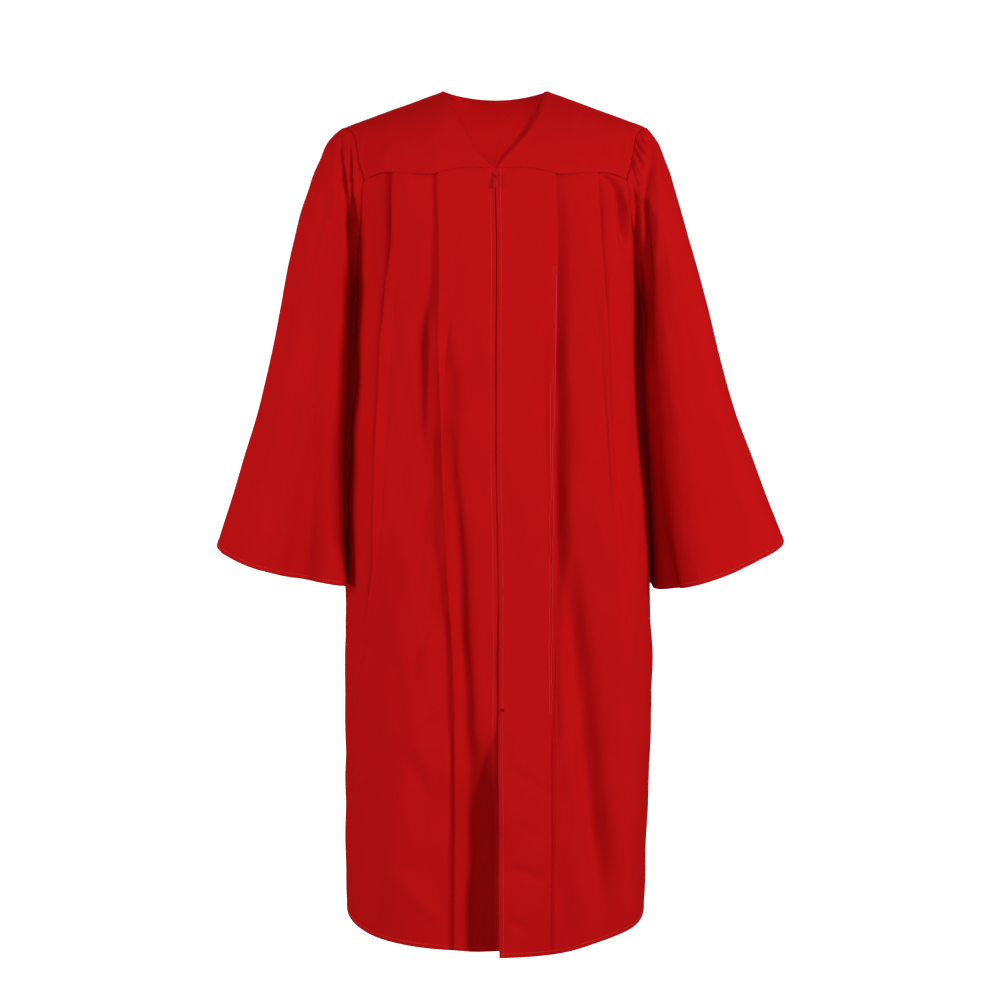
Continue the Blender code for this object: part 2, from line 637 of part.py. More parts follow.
def sleeve(name, side, folds, collection):
    """A bell sleeve: an oval carried from the armhole to the cuff, gathered at its head."""
    share = np.array(SLEEVE_ROWS)[:, None]
    turn = np.linspace(0, 2 * pi, SLEEVE_COLUMNS, endpoint=False)[None, :]
    which = "left" if side > 0 else "right"
    columns = (which + "_x", which + "_in", which + "_z", "inner_x", "front", "back")
    outer_x, inner_z, outer_z, inner_x, front, back_reach = (
        smooth(SLEEVE, n, share, "share") for n in columns)
    cosine, sine = np.cos(turn), np.sin(turn)
    swing = np.sign(cosine) * np.abs(cosine) ** OVAL_POWER
    x = (outer_x + inner_x) / 2 + (outer_x - inner_x) / 2 * swing
    z = (outer_z + inner_z) / 2 + (outer_z - inner_z) / 2 * swing
    y = np.where(sine >= 0, -front, back_reach) * np.abs(sine) ** OVAL_POWER
    behind = np.where(sine < 0, np.abs(sine) ** (2 * OVAL_POWER) * (1 - swing) / 2, 0)
    x = x - BACK_SWING * back_reach * behind * step(0, SWING_GROWN, share)
    oval = np.stack((x, y, z), -1)
    head_z = (-SHOULDER_DROP + UNDERARM) / 2 + (-SHOULDER_DROP - UNDERARM) / 2 * cosine
    front_turn = np.radians(smooth(ARMHOLE_FRONT, "turn", head_z))
    back_turn = pi - np.radians(smooth(ARMHOLE_BACK, "turn", head_z))
    head = body_surface(np.where(sine >= 0, front_turn, back_turn), head_z)
    inward = (head.mean(axis=1, keepdims=True) - head) * np.array((0, 1, 1))
    inward = inward / np.linalg.norm(inward, axis=-1, keepdims=True)
    head[..., 0] -= smooth(BODY, "sway", head[..., 2])
    head = head + HEAD_STEP * (HEAD_OUT * np.array((1, 0, 0)) + HEAD_IN * inward)
    head[..., 0] += UNDERARM_STEP * (0.5 - 0.5 * cosine) ** 2
    blend = np.clip(1 - share / HEAD_BLEND, 0, 1)[..., None] ** 2
    points = oval + blend * (head - oval[:1])
    centre = points.mean(axis=1, keepdims=True)
    away = points - centre
    away = away / np.linalg.norm(away, axis=-1, keepdims=True)
    away[..., 2] *= 1 - CUFF_LEVEL * step(*CUFF_SHARES, share)
    around = np.degrees(np.where(turn > pi, turn - 2 * pi, turn))
    ripple = 0.5 - 0.5 * np.cos(np.radians(around) * GATHERS * GATHER_PITCH)
    grown, fading, gone = GATHER_SHARES
    length = step(0, grown, share) * (1 - step(fading, gone, share))
    height = GATHER_HEIGHT * ripple * step(*GATHER_REACH, np.abs(around)) * length
    for k in range(len(folds["start"])):
        turn_top, turn_end, half_width, fold, start = (folds[n][k] for n in BELL.split())
        centre_turn = turn_top + (turn_end - turn_top) * share
        bell = np.exp(-((around - centre_turn) / half_width) ** 2)
        height = height + fold * step(start, 1, share) * bell
    points = points + away * height[..., None]
    points[..., 0] = side * points[..., 0] + smooth(BODY, "sway", np.maximum(points[..., 2], UNDERARM))
    if side > 0:
        points = points[:, ::-1]
    cloth(name, points, collection, closed=True)


def zip_tape(collection):
    """The tape behind the two front edges, from the neck to the zip's end."""
    z = np.linspace(ZIP_TOP, ZIP_END, 15)[:, None]
    x = np.linspace(-0.5, 0.5, 5)[None, :] * TAPE_WIDTH
    turn = turn_at(x + 0 * z, z + 0 * x)
    behind = CLOTH / 2 + TAPE_THICKNESS / 2 + SEAM_GAP
    points = body_surface(turn, z + 0 * x) - body_outward(turn, z + 0 * x) * behind
    cloth("zip_tape", points, collection, thickness=TAPE_THICKNESS)


def box(name, size, centre, collection):
    """A box of the given size, its centre in the object's own frame."""
    mesh = bpy.data.meshes.new(name)
    shape = bmesh.new()
    bmesh.ops.create_cube(shape, size=1.0)
    for vert in shape.verts:
        vert.co = [vert.co[k] * size[k] + centre[k] for k in range(3)]
    shape.to_mesh(mesh)
    shape.free()
    made = bpy.data.objects.new(name, mesh)
    collection.objects.link(made)
    return made


def cutter(made, target, operation):
    """Use one box on another, and keep it out of the model."""
    made.hide_render = True
    made.display_type = "WIRE"
    made.parent = target
    change = target.modifiers.new(made.name, "BOOLEAN")
    change.operation = operation
    change.object = made


def rounded_outline(half_top, half_end, top, bottom, count=7):
    """Outline of a tab with a round lower end, as (x, z) points."""
    turn = np.linspace(0, pi, count)
    centre = bottom + half_end
    arc = [(half_end * np.cos(t), centre - half_end * np.sin(t)) for t in turn]
    return [(half_top, top)] + arc + [(-half_top, top)]


def zip_slider(collection, cutters):
    """The slider's front plate, its stem between the fronts, and the bridge that holds the pull."""
    front = -(CLOTH / 2 + SLIDER_CLEAR)
    plate = box("zip_slider", SLIDER_PLATE, (0, front - SLIDER_PLATE[1] / 2, 0), collection)
    stem_end = CLOTH / 2 + SEAM_GAP - SLIDER_CLEAR
    stem_depth = stem_end - front + SLIDER_PLATE[1] / 2
    stem = box("stem", (STEM[0], stem_depth, STEM[1]), (0, stem_end - stem_depth / 2, 0), cutters)
    face = front - SLIDER_PLATE[1]
    depth = BRIDGE[1] + BRIDGE_SUNK
    feet = face + BRIDGE_SUNK
    bridge = box("bridge", (BRIDGE[0], depth, BRIDGE[2]), (0, feet - depth / 2, 0), cutters)
    eye = box("eye", (2 * BRIDGE[0], EYE[0], EYE[1]), (0, face - EYE[0] / 2, 0), cutters)
    cutter(eye, bridge, "DIFFERENCE")
    cutter(bridge, plate, "UNION")
    cutter(stem, plate, "UNION")
    place(plate, RED, 0.4, collection)
    plate.location = SLIDER_AT
    plate.rotation_euler = (-SLIDER_TILT, 0, 0)


def zip_pull(collection):
    """The pull tab: a flat tapered tab with an eye, its origin on the bridge's axis."""
    curve = bpy.data.curves.new("zip_pull", "CURVE")
    curve.dimensions = "2D"
    curve.fill_mode = "BOTH"
    curve.extrude = PULL_THICKNESS / 2
    top = PULL_BAR / 2
    window = (PULL_EYE[0] / 2, -top, -top - PULL_EYE[1])
    outlines = (
        rounded_outline(PULL_HALF[0], PULL_HALF[1], top, -PULL_LENGTH),
        [(window[0], window[1]), (window[0], window[2]), (-window[0], window[2]), (-window[0], window[1])],
    )
    for outline in outlines:
        line = curve.splines.new("POLY")
        line.points.add(len(outline) - 1)
        for point, (x, y) in zip(line.points, outline):
            point.co = (x, y, 0, 1)
        line.use_cyclic_u = True
    flat = bpy.data.objects.new("pull_outline", curve)
    collection.objects.link(flat)
    bpy.context.view_layer.update()
    solid = bpy.data.meshes.new_from_object(flat.evaluated_get(bpy.context.evaluated_depsgraph_get()))
    bpy.data.objects.remove(flat, do_unlink=True)
    shape = bmesh.new()
    shape.from_mesh(solid)
    bmesh.ops.remove_doubles(shape, verts=shape.verts, dist=WELD)
    bmesh.ops.recalc_face_normals(shape, faces=shape.faces)
    shape.to_mesh(solid)
    shape.free()
    made = bpy.data.objects.new("zip_pull", solid)
    collection.objects.link(made)
    place(made, RED, 0.4, collection)
    made.location = PULL_AXIS
    made.rotation_euler = (pi / 2 - SLIDER_TILT, 0, 0)


def main():
    for old in list(bpy.data.objects):
        bpy.data.objects.remove(old, do_unlink=True)
    collection = bpy.data.collections.new("graduation_gown")
    cutters = bpy.data.collections.new("cutters")
    for each in (collection, cutters):
        bpy.context.scene.collection.children.link(each)
    front_yoke("front_yoke_right", -1, collection)
    front_yoke("front_yoke_left", 1, collection)
    back_yoke(collection)
    fronts(collection)
    back(collection)
    sleeve("sleeve_right", -1, BELL_FOLDS["right"], collection)
    sleeve("sleeve_left", 1, BELL_FOLDS["left"], collection)
    zip_tape(collection)
    zip_slider(collection, cutters)
    zip_pull(collection)


main()
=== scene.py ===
import bmesh
import bpy
import numpy as np
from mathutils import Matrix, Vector


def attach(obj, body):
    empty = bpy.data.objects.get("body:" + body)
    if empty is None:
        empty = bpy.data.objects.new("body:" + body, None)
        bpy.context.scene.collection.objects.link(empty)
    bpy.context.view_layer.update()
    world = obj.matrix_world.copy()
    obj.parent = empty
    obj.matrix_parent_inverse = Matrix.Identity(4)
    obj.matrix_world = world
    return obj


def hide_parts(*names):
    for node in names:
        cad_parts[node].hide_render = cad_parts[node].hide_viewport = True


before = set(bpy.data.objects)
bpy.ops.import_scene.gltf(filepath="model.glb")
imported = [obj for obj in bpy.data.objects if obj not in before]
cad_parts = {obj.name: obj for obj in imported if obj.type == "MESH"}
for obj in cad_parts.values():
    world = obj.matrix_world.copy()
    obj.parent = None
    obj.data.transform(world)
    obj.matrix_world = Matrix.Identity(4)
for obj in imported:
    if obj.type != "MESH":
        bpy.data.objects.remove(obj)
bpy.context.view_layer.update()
scene = bpy.context.scene
print("frame loaded:", len(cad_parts), "nodes")


# curves through short tables
# a short table becomes one array for each named column
def table(names, *rows):
    return dict(zip(names.split(), np.array(rows, dtype=float).T))


# a column's value at the places given: a cubic through the rows whose slopes are the harmonic
# means of the slopes beside them, so that it never overshoots a row
def smooth(rows, name, at, key="z"):
    order = np.argsort(rows[key])
    places, values = rows[key][order], rows[name][order]
    steps = np.diff(places)
    slopes = np.diff(values) / steps
    product, total = slopes[:-1] * slopes[1:], slopes[:-1] + slopes[1:]
    middle = np.where(product > 0, 2 * product / np.where(total == 0, 1, total), 0)
    tangents = np.concatenate(([slopes[0]], middle, [slopes[-1]]))
    at = np.clip(at, places[0], places[-1])
    k = np.clip(np.searchsorted(places, at) - 1, 0, len(steps) - 1)
    t = (at - places[k]) / steps[k]
    ease = t * t * (3 - 2 * t)
    start = values[k] + t * steps[k] * tangents[k]
    end = values[k + 1] - (1 - t) * steps[k] * tangents[k + 1]
    return start * (1 - ease) + end * ease


# 0 below low, 1 above high, 3t^2 - 2t^3 between them
def softStep(low, high, value):
    t = np.clip((value - low) / (high - low), 0, 1)
    return t * t * (3 - 2 * t)


# a bell: 1 at the middle, e^-1 at one width
def bell(value):
    return np.exp(-value * value)


# n shares from 0 to 1, closer together near both ends
def edgeShares(count):
    return 0.5 - 0.5 * np.cos(np.linspace(0, np.pi, count))


# distances from a sewn or hemmed edge at which extra rows are laid
edgeRows = np.array((0.0008, 0.0020, 0.0035, 0.0055, 0.0068, 0.0075, 0.0082, 0.0095, 0.012))


# unit normals of a grid: the cross product of its differences down and across
def gridNormals(points):
    out = np.cross(np.gradient(points, axis=0), np.gradient(points, axis=1))
    return out / np.maximum(np.linalg.norm(out, axis=-1, keepdims=True), 1e-12)


# distance along a grid's rows (axis 1) or columns (axis 0), from its first line
def gridLengths(points, axis):
    steps = np.linalg.norm(np.diff(points, axis=axis), axis=-1)
    start = np.zeros_like(points[..., 0].take([0], axis=axis))
    return np.concatenate((start, np.cumsum(steps, axis=axis)), axis)


# the body that the cloth hangs on
seamGap = 0.0007
body = {
    "roundness": 2.4,        # exponent of the oval, 2 for an ellipse
    "frontDome": 0.160,      # height over which the front rounds off towards the shoulder seam
    "backDome": 0.090,
    "neckHalf": 0.077,
    "shoulderHalf": 0.2246,
    "shoulderDrop": 0.0528,
    "underarm": -0.300,
    "ovals": table(
        "z halfWidth frontDepth backDepth sway",
        (0.000, 0.2320, 0.118, 0.105, 0.000),
        (-0.130, 0.2245, 0.120, 0.106, 0.000),
        (-0.236, 0.2125, 0.124, 0.109, 0.002),
        (-0.380, 0.2125, 0.131, 0.116, 0.001),
        (-0.514, 0.2220, 0.138, 0.125, 0.001),
        (-0.652, 0.2325, 0.145, 0.135, 0.003),
        (-0.763, 0.2370, 0.151, 0.145, 0.004),
        (-1.000, 0.2400, 0.166, 0.165, 0.003),
        (-1.203, 0.2380, 0.179, 0.180, 0.000),
        (-1.300, 0.2335, 0.185, 0.185, -0.001),
    ),
}


# height of the shoulder seam: level over the neck, then a straight fall to the sleeve
def shoulderLine(x):
    slope = body["shoulderDrop"] / (body["shoulderHalf"] - body["neckHalf"])
    return -slope * np.maximum(np.abs(x) - body["neckHalf"], 0)


# the body's outside: a superellipse at each height, x = a sin^(2/n), y = b cos^(2/n), its depth
# rounded off under the shoulder seam. turn is 0 in front, 90 degrees at the wearer's left
def bodyPoint(turn, z):
    across, along = np.sin(turn), np.cos(turn)
    ovals, power = body["ovals"], 2 / body["roundness"]
    x = smooth(ovals, "halfWidth", z) * np.sign(across) * np.abs(across) ** power
    front = along >= 0
    depth = np.where(front, smooth(ovals, "frontDepth", z), smooth(ovals, "backDepth", z))
    dome = np.where(front, body["frontDome"], body["backDome"])
    below = np.clip((shoulderLine(x) - z) / dome, 0, 1)
    reach = depth * np.abs(along) ** power * np.sqrt(1 - (1 - below) ** 2) + seamGap / 2
    return np.stack((x + smooth(ovals, "sway", z), np.where(front, -reach, reach), z + 0 * x), -1)


# unit direction out of that surface: the cross product of small steps round it and up it
def bodyOut(turn, z, nudge=0.004):
    around = bodyPoint(turn + nudge, z) - bodyPoint(turn - nudge, z)
    up = bodyPoint(turn, z + nudge) - bodyPoint(turn, z - nudge)
    out = np.cross(around, up)
    return out / np.linalg.norm(out, axis=-1, keepdims=True)


# the turn at which the body's surface is x to the side: the superellipse solved for the turn
def turnAt(x, z):
    share = np.clip(np.abs(x) / smooth(body["ovals"], "halfWidth", z), 0, 1)
    return np.sign(x) * np.arcsin(share ** (body["roundness"] / 2))


# for each height, the distance round the body from its middle to each of many turns
def roundBody(z):
    turns = np.linspace(-0.15, np.pi / 2 + 0.05, 260)
    lengths = gridLengths(bodyPoint(turns[None, :], z[:, None]), 1)
    return turns, lengths - np.array([np.interp(0, turns, row) for row in lengths])[:, None]


# turning grids into cloth
# a grid of points as a mesh in metres, its UV map holding the distances along and down the cloth.
# closed joins the last column to the first
def gridMesh(name, points, closed=False):
    rows, columns = points.shape[:2]
    across, down = gridLengths(points, 1), gridLengths(points, 0)
    index = np.arange(rows * columns).reshape(rows, columns)
    if closed:
        index = np.concatenate((index, index[:, :1]), 1)
        last = across[:, -1:] + np.linalg.norm(points[:, :1] - points[:, -1:], axis=-1)
        across = np.concatenate((across, last), 1)
        down = np.concatenate((down, down[:, :1]), 1)
    corners = (index[:-1, :-1], index[1:, :-1], index[1:, 1:], index[:-1, 1:])
    faces = np.stack(corners, -1).reshape(-1, 4)
    flat = np.stack((across, down), -1)
    spots = (flat[:-1, :-1], flat[1:, :-1], flat[1:, 1:], flat[:-1, 1:])
    mesh = bpy.data.meshes.new(name)
    mesh.from_pydata(points.reshape(-1, 3), [], faces)
    mesh.uv_layers.new(name="cloth").data.foreach_set("uv", np.stack(spots, -2).ravel())
    mesh.shade_smooth()
    return mesh


# an object at the origin in the gown's body, with its material and slot
def piece(name, mesh, material, rider="gown"):
    made = bpy.data.objects.new(name, mesh)
    scene.collection.objects.link(made)
    mesh.materials.append(material)
    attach(made, rider)
    return made


# a cloth piece: its grid's outside, given a thin wall inwards
def clothPiece(name, points, material, node, closed=False, wall=0.0006):
    made = piece(name, gridMesh(name, points, closed), material)
    thick = made.modifiers.new("Wall", "SOLIDIFY")
    thick.thickness = wall
    thick.offset = -1
    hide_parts(node)
    return made


# fronts and back
panels = {
    "foldGap": 0.0020,       # between the two layers of a pressed pleat
    "openGap": 0.0075,       # how much further apart they are where a pleat runs out
    "foldRound": 0.0024,     # how far a fold's rounding reaches along the cloth
    "openFoot": 0.0080,
    "shelf": 0.0025,         # flat run of the layer under a flap, past its crest
    "placket": 0.0150,       # flat strip along each middle edge
    "parting": (0.001, 0.011),  # flap widths at which the layers are apart and closed
    "lap": 0.006,            # how far a panel runs up behind the yoke, and how deep
    "lapDepth": 0.0024,
    "lapSink": (0.0125, 0.0185),  # places across where it sinks, then where the lap starts
    "lapSpan": (0.020, 0.034, 0.300, 0.310),
    "seamEase": 0.12,
    "hemEase": 0.15,
    "hemDepth": 0.0075,      # the hem's stitch line above the edge
    "hemSwell": 0.0006,      # how far the doubled hem stands out
    "hemLevel": 0.38,        # how much a fold's hem is lifted, as a share of how far it stands out
    "tuck": 0.0007,          # how far the sewn side edges turn in, and the soft roll beside them
    "puff": 0.0007,
    "edgeRoll": 0.0009,      # how far the zip edges' folded lips stand out
    "sideMeets": 1.0,      # share of the gap between front and back that their side seam closes
    "zipEnd": -0.925,
    "rows": 180,
    "spacing": 0.0050,       # between columns
}
yokeSeam = table(
    "x z",
    (0.0000, -0.1137),
    (0.0280, -0.1120),
    (0.0760, -0.1175),
    (0.0960, -0.1220),
    (0.1300, -0.1203),
    (0.1550, -0.1195),
    (0.1950, -0.1300),
)
backSeam = table("x z", (0.0000, -0.1400), (0.1000, -0.1380), (0.2100, -0.1300))
tipShare = body["shoulderHalf"] / float(smooth(body["ovals"], "halfWidth", -body["shoulderDrop"]))
tipTurn = float(np.degrees(np.arcsin(tipShare ** (body["roundness"] / 2))))
# armholes: turn in degrees from the middle, by height
armholeFront = table(
    "z turn",
    (-body["shoulderDrop"], tipTurn),
    (-0.0600, 67.5),
    (-0.0700, 63.5),
    (-0.0880, 61.8),
    (-0.1120, 59.8),
    (-0.1300, 57.2),
    (-0.1520, 60.0),
    (-0.1850, 65.0),
    (-0.2260, 74.0),
    (-0.2650, 82.0),
    (body["underarm"], 90.0),
)
armholeBack = table(
    "z turn",
    (-body["shoulderDrop"], tipTurn),
    (-0.0900, 70.0),
    (-0.1300, 66.0),
    (-0.1700, 67.0),
    (-0.2100, 72.0),
    (-0.2600, 81.0),
    (body["underarm"], 90.0),
)
# pleats by height: the crest is the folded edge that shows, its flap is width wide and leans
# from 0, flat and facing outwards, through 90, standing, to over 90, leaning to the middle
pleat = "z crestX width lean crestOut"
pleats = {
    "frontRight": (
        table(
            pleat,
            (-0.115, 0.0845, 0.025, 0, 0.000),
            (-0.250, 0.0842, 0.023, 6, 0.003),
            (-0.340, 0.0838, 0.018, 34, 0.008),
            (-0.420, 0.0800, 0.013, 76, 0.010),
            (-0.520, 0.0770, 0.011, 98, 0.010),
            (-0.700, 0.0715, 0.011, 104, 0.010),
            (-0.930, 0.0606, 0.011, 106, 0.011),
            (-1.290, 0.0570, 0.011, 108, 0.010),
        ),
        table(
            pleat,
            (-0.115, 0.1510, 0.024, 0, 0.000),
            (-0.225, 0.1560, 0.023, 8, 0.003),
            (-0.310, 0.1670, 0.020, 18, 0.007),
            (-0.500, 0.1745, 0.016, 32, 0.009),
            (-0.700, 0.1880, 0.011, 50, 0.008),
            (-0.830, 0.2040, 0.006, 70, 0.005),
            (-0.920, 0.2150, 0.002, 88, 0.002),
            (-1.290, 0.2180, 0.000, 90, 0.000),
        ),
    ),
    "frontLeft": (
        table(
            pleat,
            (-0.115, 0.0885, 0.025, 0, 0.000),
            (-0.300, 0.0893, 0.022, 14, 0.004),
            (-0.500, 0.0868, 0.017, 32, 0.009),
            (-0.780, 0.0858, 0.012, 52, 0.011),
            (-1.000, 0.0868, 0.009, 65, 0.010),
            (-1.290, 0.0889, 0.007, 75, 0.008),
        ),
        table(
            pleat,
            (-0.115, 0.1505, 0.024, 0, 0.000),
            (-0.210, 0.1530, 0.023, 10, 0.005),
            (-0.320, 0.1610, 0.018, 24, 0.010),
            (-0.450, 0.1670, 0.013, 42, 0.011),
            (-0.550, 0.1700, 0.008, 65, 0.008),
            (-0.700, 0.1740, 0.002, 88, 0.005),
            (-1.290, 0.1780, 0.000, 90, 0.000),
        ),
    ),
    "backRight": (
        table(
            pleat,
            (-0.130, 0.0780, 0.025, 0, 0.000),
            (-0.400, 0.0820, 0.021, 12, 0.004),
            (-0.650, 0.0880, 0.014, 40, 0.007),
            (-0.900, 0.0960, 0.008, 70, 0.006),
            (-1.290, 0.1040, 0.003, 88, 0.004),
        ),
        table(
            pleat,
            (-0.130, 0.1480, 0.024, 0, 0.000),
            (-0.360, 0.1560, 0.019, 14, 0.004),
            (-0.560, 0.1650, 0.010, 50, 0.005),
            (-0.800, 0.1780, 0.002, 88, 0.003),
            (-1.290, 0.1860, 0.000, 90, 0.000),
        ),
    ),
    "backLeft": (
        table(
            pleat,
            (-0.130, 0.0800, 0.025, 0, 0.000),
            (-0.360, 0.0830, 0.022, 10, 0.004),
            (-0.600, 0.0860, 0.015, 35, 0.007),
            (-0.850, 0.0900, 0.009, 65, 0.007),
            (-1.290, 0.0980, 0.004, 85, 0.005),
        ),
        table(
            pleat,
            (-0.130, 0.1500, 0.024, 0, 0.000),
            (-0.340, 0.1590, 0.018, 16, 0.004),
            (-0.500, 0.1660, 0.011, 45, 0.005),
            (-0.740, 0.1760, 0.002, 88, 0.003),
            (-1.290, 0.1840, 0.000, 90, 0.000),
        ),
    ),
}
# long soft folds: troughs, height below 0, and ridges from their top to their bottom
soft = "zTop xTop zEnd xEnd halfWidth height atHem"
softFolds = {
    "frontRight": table(
        soft,
        (-0.340, 0.0700, -1.290, 0.0400, 0.0130, -0.012, 1),
        (-0.940, 0.0300, -1.290, 0.0240, 0.0240, -0.022, 1),
        (-0.240, 0.1000, -0.560, 0.1060, 0.0100, -0.005, 0),
        (-0.700, 0.1150, -1.290, 0.1500, 0.0400, 0.006, 1),
    ),
    "frontLeft": table(
        soft,
        (-0.260, 0.0950, -0.860, 0.0980, 0.0090, -0.006, 0),
        (-0.600, 0.0990, -1.300, 0.1740, 0.0190, -0.022, 0),
        (-0.420, 0.1740, -1.290, 0.2000, 0.0260, 0.007, 1),
        (-0.700, 0.0400, -1.290, 0.0450, 0.0400, 0.005, 1),
    ),
    "backRight": table(
        soft,
        (-0.450, 0.0300, -1.290, 0.0400, 0.0280, -0.012, 1),
        (-0.500, 0.1200, -1.290, 0.1480, 0.0240, -0.014, 1),
        (-0.600, 0.1800, -1.290, 0.1950, 0.0200, 0.006, 1),
    ),
    "backLeft": table(
        soft,
        (-0.520, 0.0260, -1.290, 0.0300, 0.0260, -0.010, 1),
        (-0.420, 0.1180, -1.290, 0.1400, 0.0260, -0.015, 1),
        (-0.650, 0.1760, -1.290, 0.1900, 0.0220, 0.007, 1),
    ),
}
# short creases from one end to the other, bowed sideways by bow
crease = "x1 z1 x2 z2 width height bow"
creases = {
    "frontRight": table(
        crease,
        (0.0867, -0.742, 0.1349, -0.880, 0.0080, -0.0045, 0.006),
        (0.0858, -0.915, 0.1204, -0.972, 0.0085, -0.0040, 0.003),
        (0.1430, -0.980, 0.1058, -1.056, 0.0100, -0.0030, -0.004),
        (0.1460, -1.160, 0.0800, -1.240, 0.0120, 0.0034, 0.006),
        (0.1026, -0.310, 0.1090, -0.560, 0.0060, -0.0030, -0.003),
        (0.1000, -0.600, 0.1250, -0.750, 0.0085, -0.0034, 0.004),
        (0.0250, -0.118, 0.0140, -0.175, 0.0040, -0.0012, 0.001),
        (0.0520, -0.220, 0.0300, -0.380, 0.0160, 0.0016, 0.006),
        (0.1200, -0.170, 0.1320, -0.300, 0.0100, -0.0014, 0.002),
        (0.1750, -0.930, 0.2000, -1.130, 0.0160, -0.0030, 0.008),
        (0.1300, -1.020, 0.1750, -1.110, 0.0130, 0.0020, 0.004),
        (0.0300, -0.560, 0.0440, -0.760, 0.0120, 0.0018, 0.003),
    ),
    "frontLeft": table(
        crease,
        (0.0190, -1.000, 0.0800, -1.043, 0.0055, -0.0032, 0.003),
        (0.0295, -1.081, 0.0672, -1.119, 0.0100, -0.0022, 0.004),
        (0.0170, -1.152, 0.0760, -1.175, 0.0050, -0.0034, 0.002),
        (0.0175, -1.228, 0.0500, -1.258, 0.0045, -0.0030, 0.002),
        (0.0214, -0.175, 0.0760, -0.262, 0.0140, 0.0030, 0.006),
        (0.0340, -0.340, 0.0740, -0.480, 0.0140, -0.0026, 0.008),
        (0.0437, -0.550, 0.0590, -0.810, 0.0150, 0.0028, 0.003),
        (0.1250, -0.180, 0.1170, -0.330, 0.0120, -0.0016, -0.003),
        (0.1800, -0.330, 0.1860, -0.450, 0.0060, -0.0026, 0.002),
        (0.1050, -0.700, 0.1250, -0.900, 0.0090, -0.0030, 0.004),
        (0.1450, -1.170, 0.1100, -1.250, 0.0130, 0.0022, 0.004),
        (0.0150, -0.980, 0.0150, -1.280, 0.0035, 0.0008, 0.000),
    ),
    "backRight": table(
        crease,
        (0.0900, -0.720, 0.1360, -0.850, 0.0090, -0.0040, 0.006),
        (0.0400, -0.400, 0.0600, -0.620, 0.0140, 0.0026, 0.004),
        (0.1300, -0.930, 0.0950, -1.010, 0.0100, -0.0032, -0.004),
        (0.0200, -1.060, 0.0800, -1.110, 0.0080, -0.0028, 0.004),
        (0.1700, -0.180, 0.1900, -0.330, 0.0100, -0.0030, 0.004),
        (0.1200, -0.200, 0.1270, -0.360, 0.0110, -0.0016, 0.003),
        (0.1500, -1.150, 0.1000, -1.240, 0.0130, 0.0026, 0.005),
        (0.1950, -0.560, 0.1850, -0.760, 0.0120, -0.0024, 0.004),
    ),
    "backLeft": table(
        crease,
        (0.0860, -0.640, 0.1240, -0.760, 0.0080, -0.0036, 0.005),
        (0.1200, -0.840, 0.0900, -0.920, 0.0090, -0.0030, -0.003),
        (0.0460, -0.260, 0.0300, -0.440, 0.0150, 0.0024, 0.005),
        (0.0300, -0.980, 0.0840, -1.040, 0.0085, -0.0030, 0.004),
        (0.1660, -0.170, 0.1950, -0.310, 0.0090, -0.0034, 0.005),
        (0.1500, -1.020, 0.1800, -1.150, 0.0150, -0.0030, 0.006),
        (0.1100, -1.170, 0.0500, -1.230, 0.0110, 0.0024, 0.004),
        (0.1900, -0.420, 0.1820, -0.600, 0.0100, -0.0020, 0.003),
    ),
}
# troughs with one steep side: first those close beside the pleats' crests, then at the wearer's
# left the leaf-shaped fold at the armhole
steepFolds = {
    "frontRight": table(
        crease + " skew",
        (0.1525, -0.0900, 0.1710, -0.3500, 0.0022, -0.0070, -0.0035, -0.6),
        (0.1660, -0.2600, 0.1812, -0.5800, 0.0022, -0.0075, 0.0008, -0.6),
        (0.1755, -0.4800, 0.2075, -0.8400, 0.0024, -0.0065, -0.0030, -0.6),
    ),
    "frontLeft": table(
        crease + " skew",
        (0.0912, -0.1500, 0.0878, -0.6200, 0.0025, -0.0085, 0.0000, -0.8),
        (0.0888, -0.4800, 0.0880, -0.9600, 0.0025, -0.0095, 0.0000, -0.8),
        (0.1525, -0.0900, 0.1632, -0.3400, 0.0022, -0.0050, -0.0020, -0.6),
        (0.1590, -0.2600, 0.1722, -0.6000, 0.0022, -0.0055, 0.0010, -0.6),
        (0.1540, -0.1215, 0.1890, -0.1650, 0.0045, -0.0130, 0.0080, 0.2),
        (0.1850, -0.1380, 0.1950, -0.2420, 0.0048, -0.0150, 0.0010, 0.3),
        (0.1650, -0.1230, 0.2000, -0.2150, 0.0028, 0.0040, 0.0120, 0.0),
    ),
}
# middle edges of the fronts: place across, to the wearer's side, and depth
frontEdges = {
    "frontRight": table(
        "z x out",
        (-0.115, 0.0007, 0.000),
        (-0.925, 0.0007, 0.000),
        (-1.000, 0.0004, -0.011),
        (-1.060, -0.0020, -0.017),
        (-1.100, -0.0050, -0.019),
        (-1.290, -0.0120, -0.022),
    ),
    "frontLeft": table(
        "z x out",
        (-0.115, 0.0007, 0.000),
        (-0.925, 0.0007, 0.000),
        (-1.100, 0.0035, 0.004),
        (-1.290, 0.0065, 0.007),
    ),
}
hems = {
    "frontRight": table("x z", (-0.020, -1.2800), (0.060, -1.2815), (0.158, -1.2800), (0.240, -1.2740)),
    "frontLeft": table("x z", (0.000, -1.2930), (0.080, -1.2900), (0.158, -1.2810), (0.240, -1.2720)),
    "back": table("x z", (0.000, -1.2800), (0.120, -1.2790), (0.240, -1.2730)),
}


# control points for a line of corners, one set a row. A loose stretch takes a point near each
# end, at foldRound or 0.3 of its length, so that the rounding stays close to its corners
def eased(corners, loose):
    control = [corners[0] - (corners[1] - corners[0]) * 0.02, corners[0]]
    for k, free in enumerate(loose):
        start, end = corners[k], corners[k + 1]
        if free:
            length = np.maximum(np.linalg.norm(end - start, axis=-1, keepdims=True), 1e-6)
            reach = np.minimum(panels["foldRound"] / length, 0.3)
            control += [start + (end - start) * reach, end - (end - start) * reach]
        control.append(end)
    control.append(control[-1] * 2 - control[-2])
    return np.array(control)


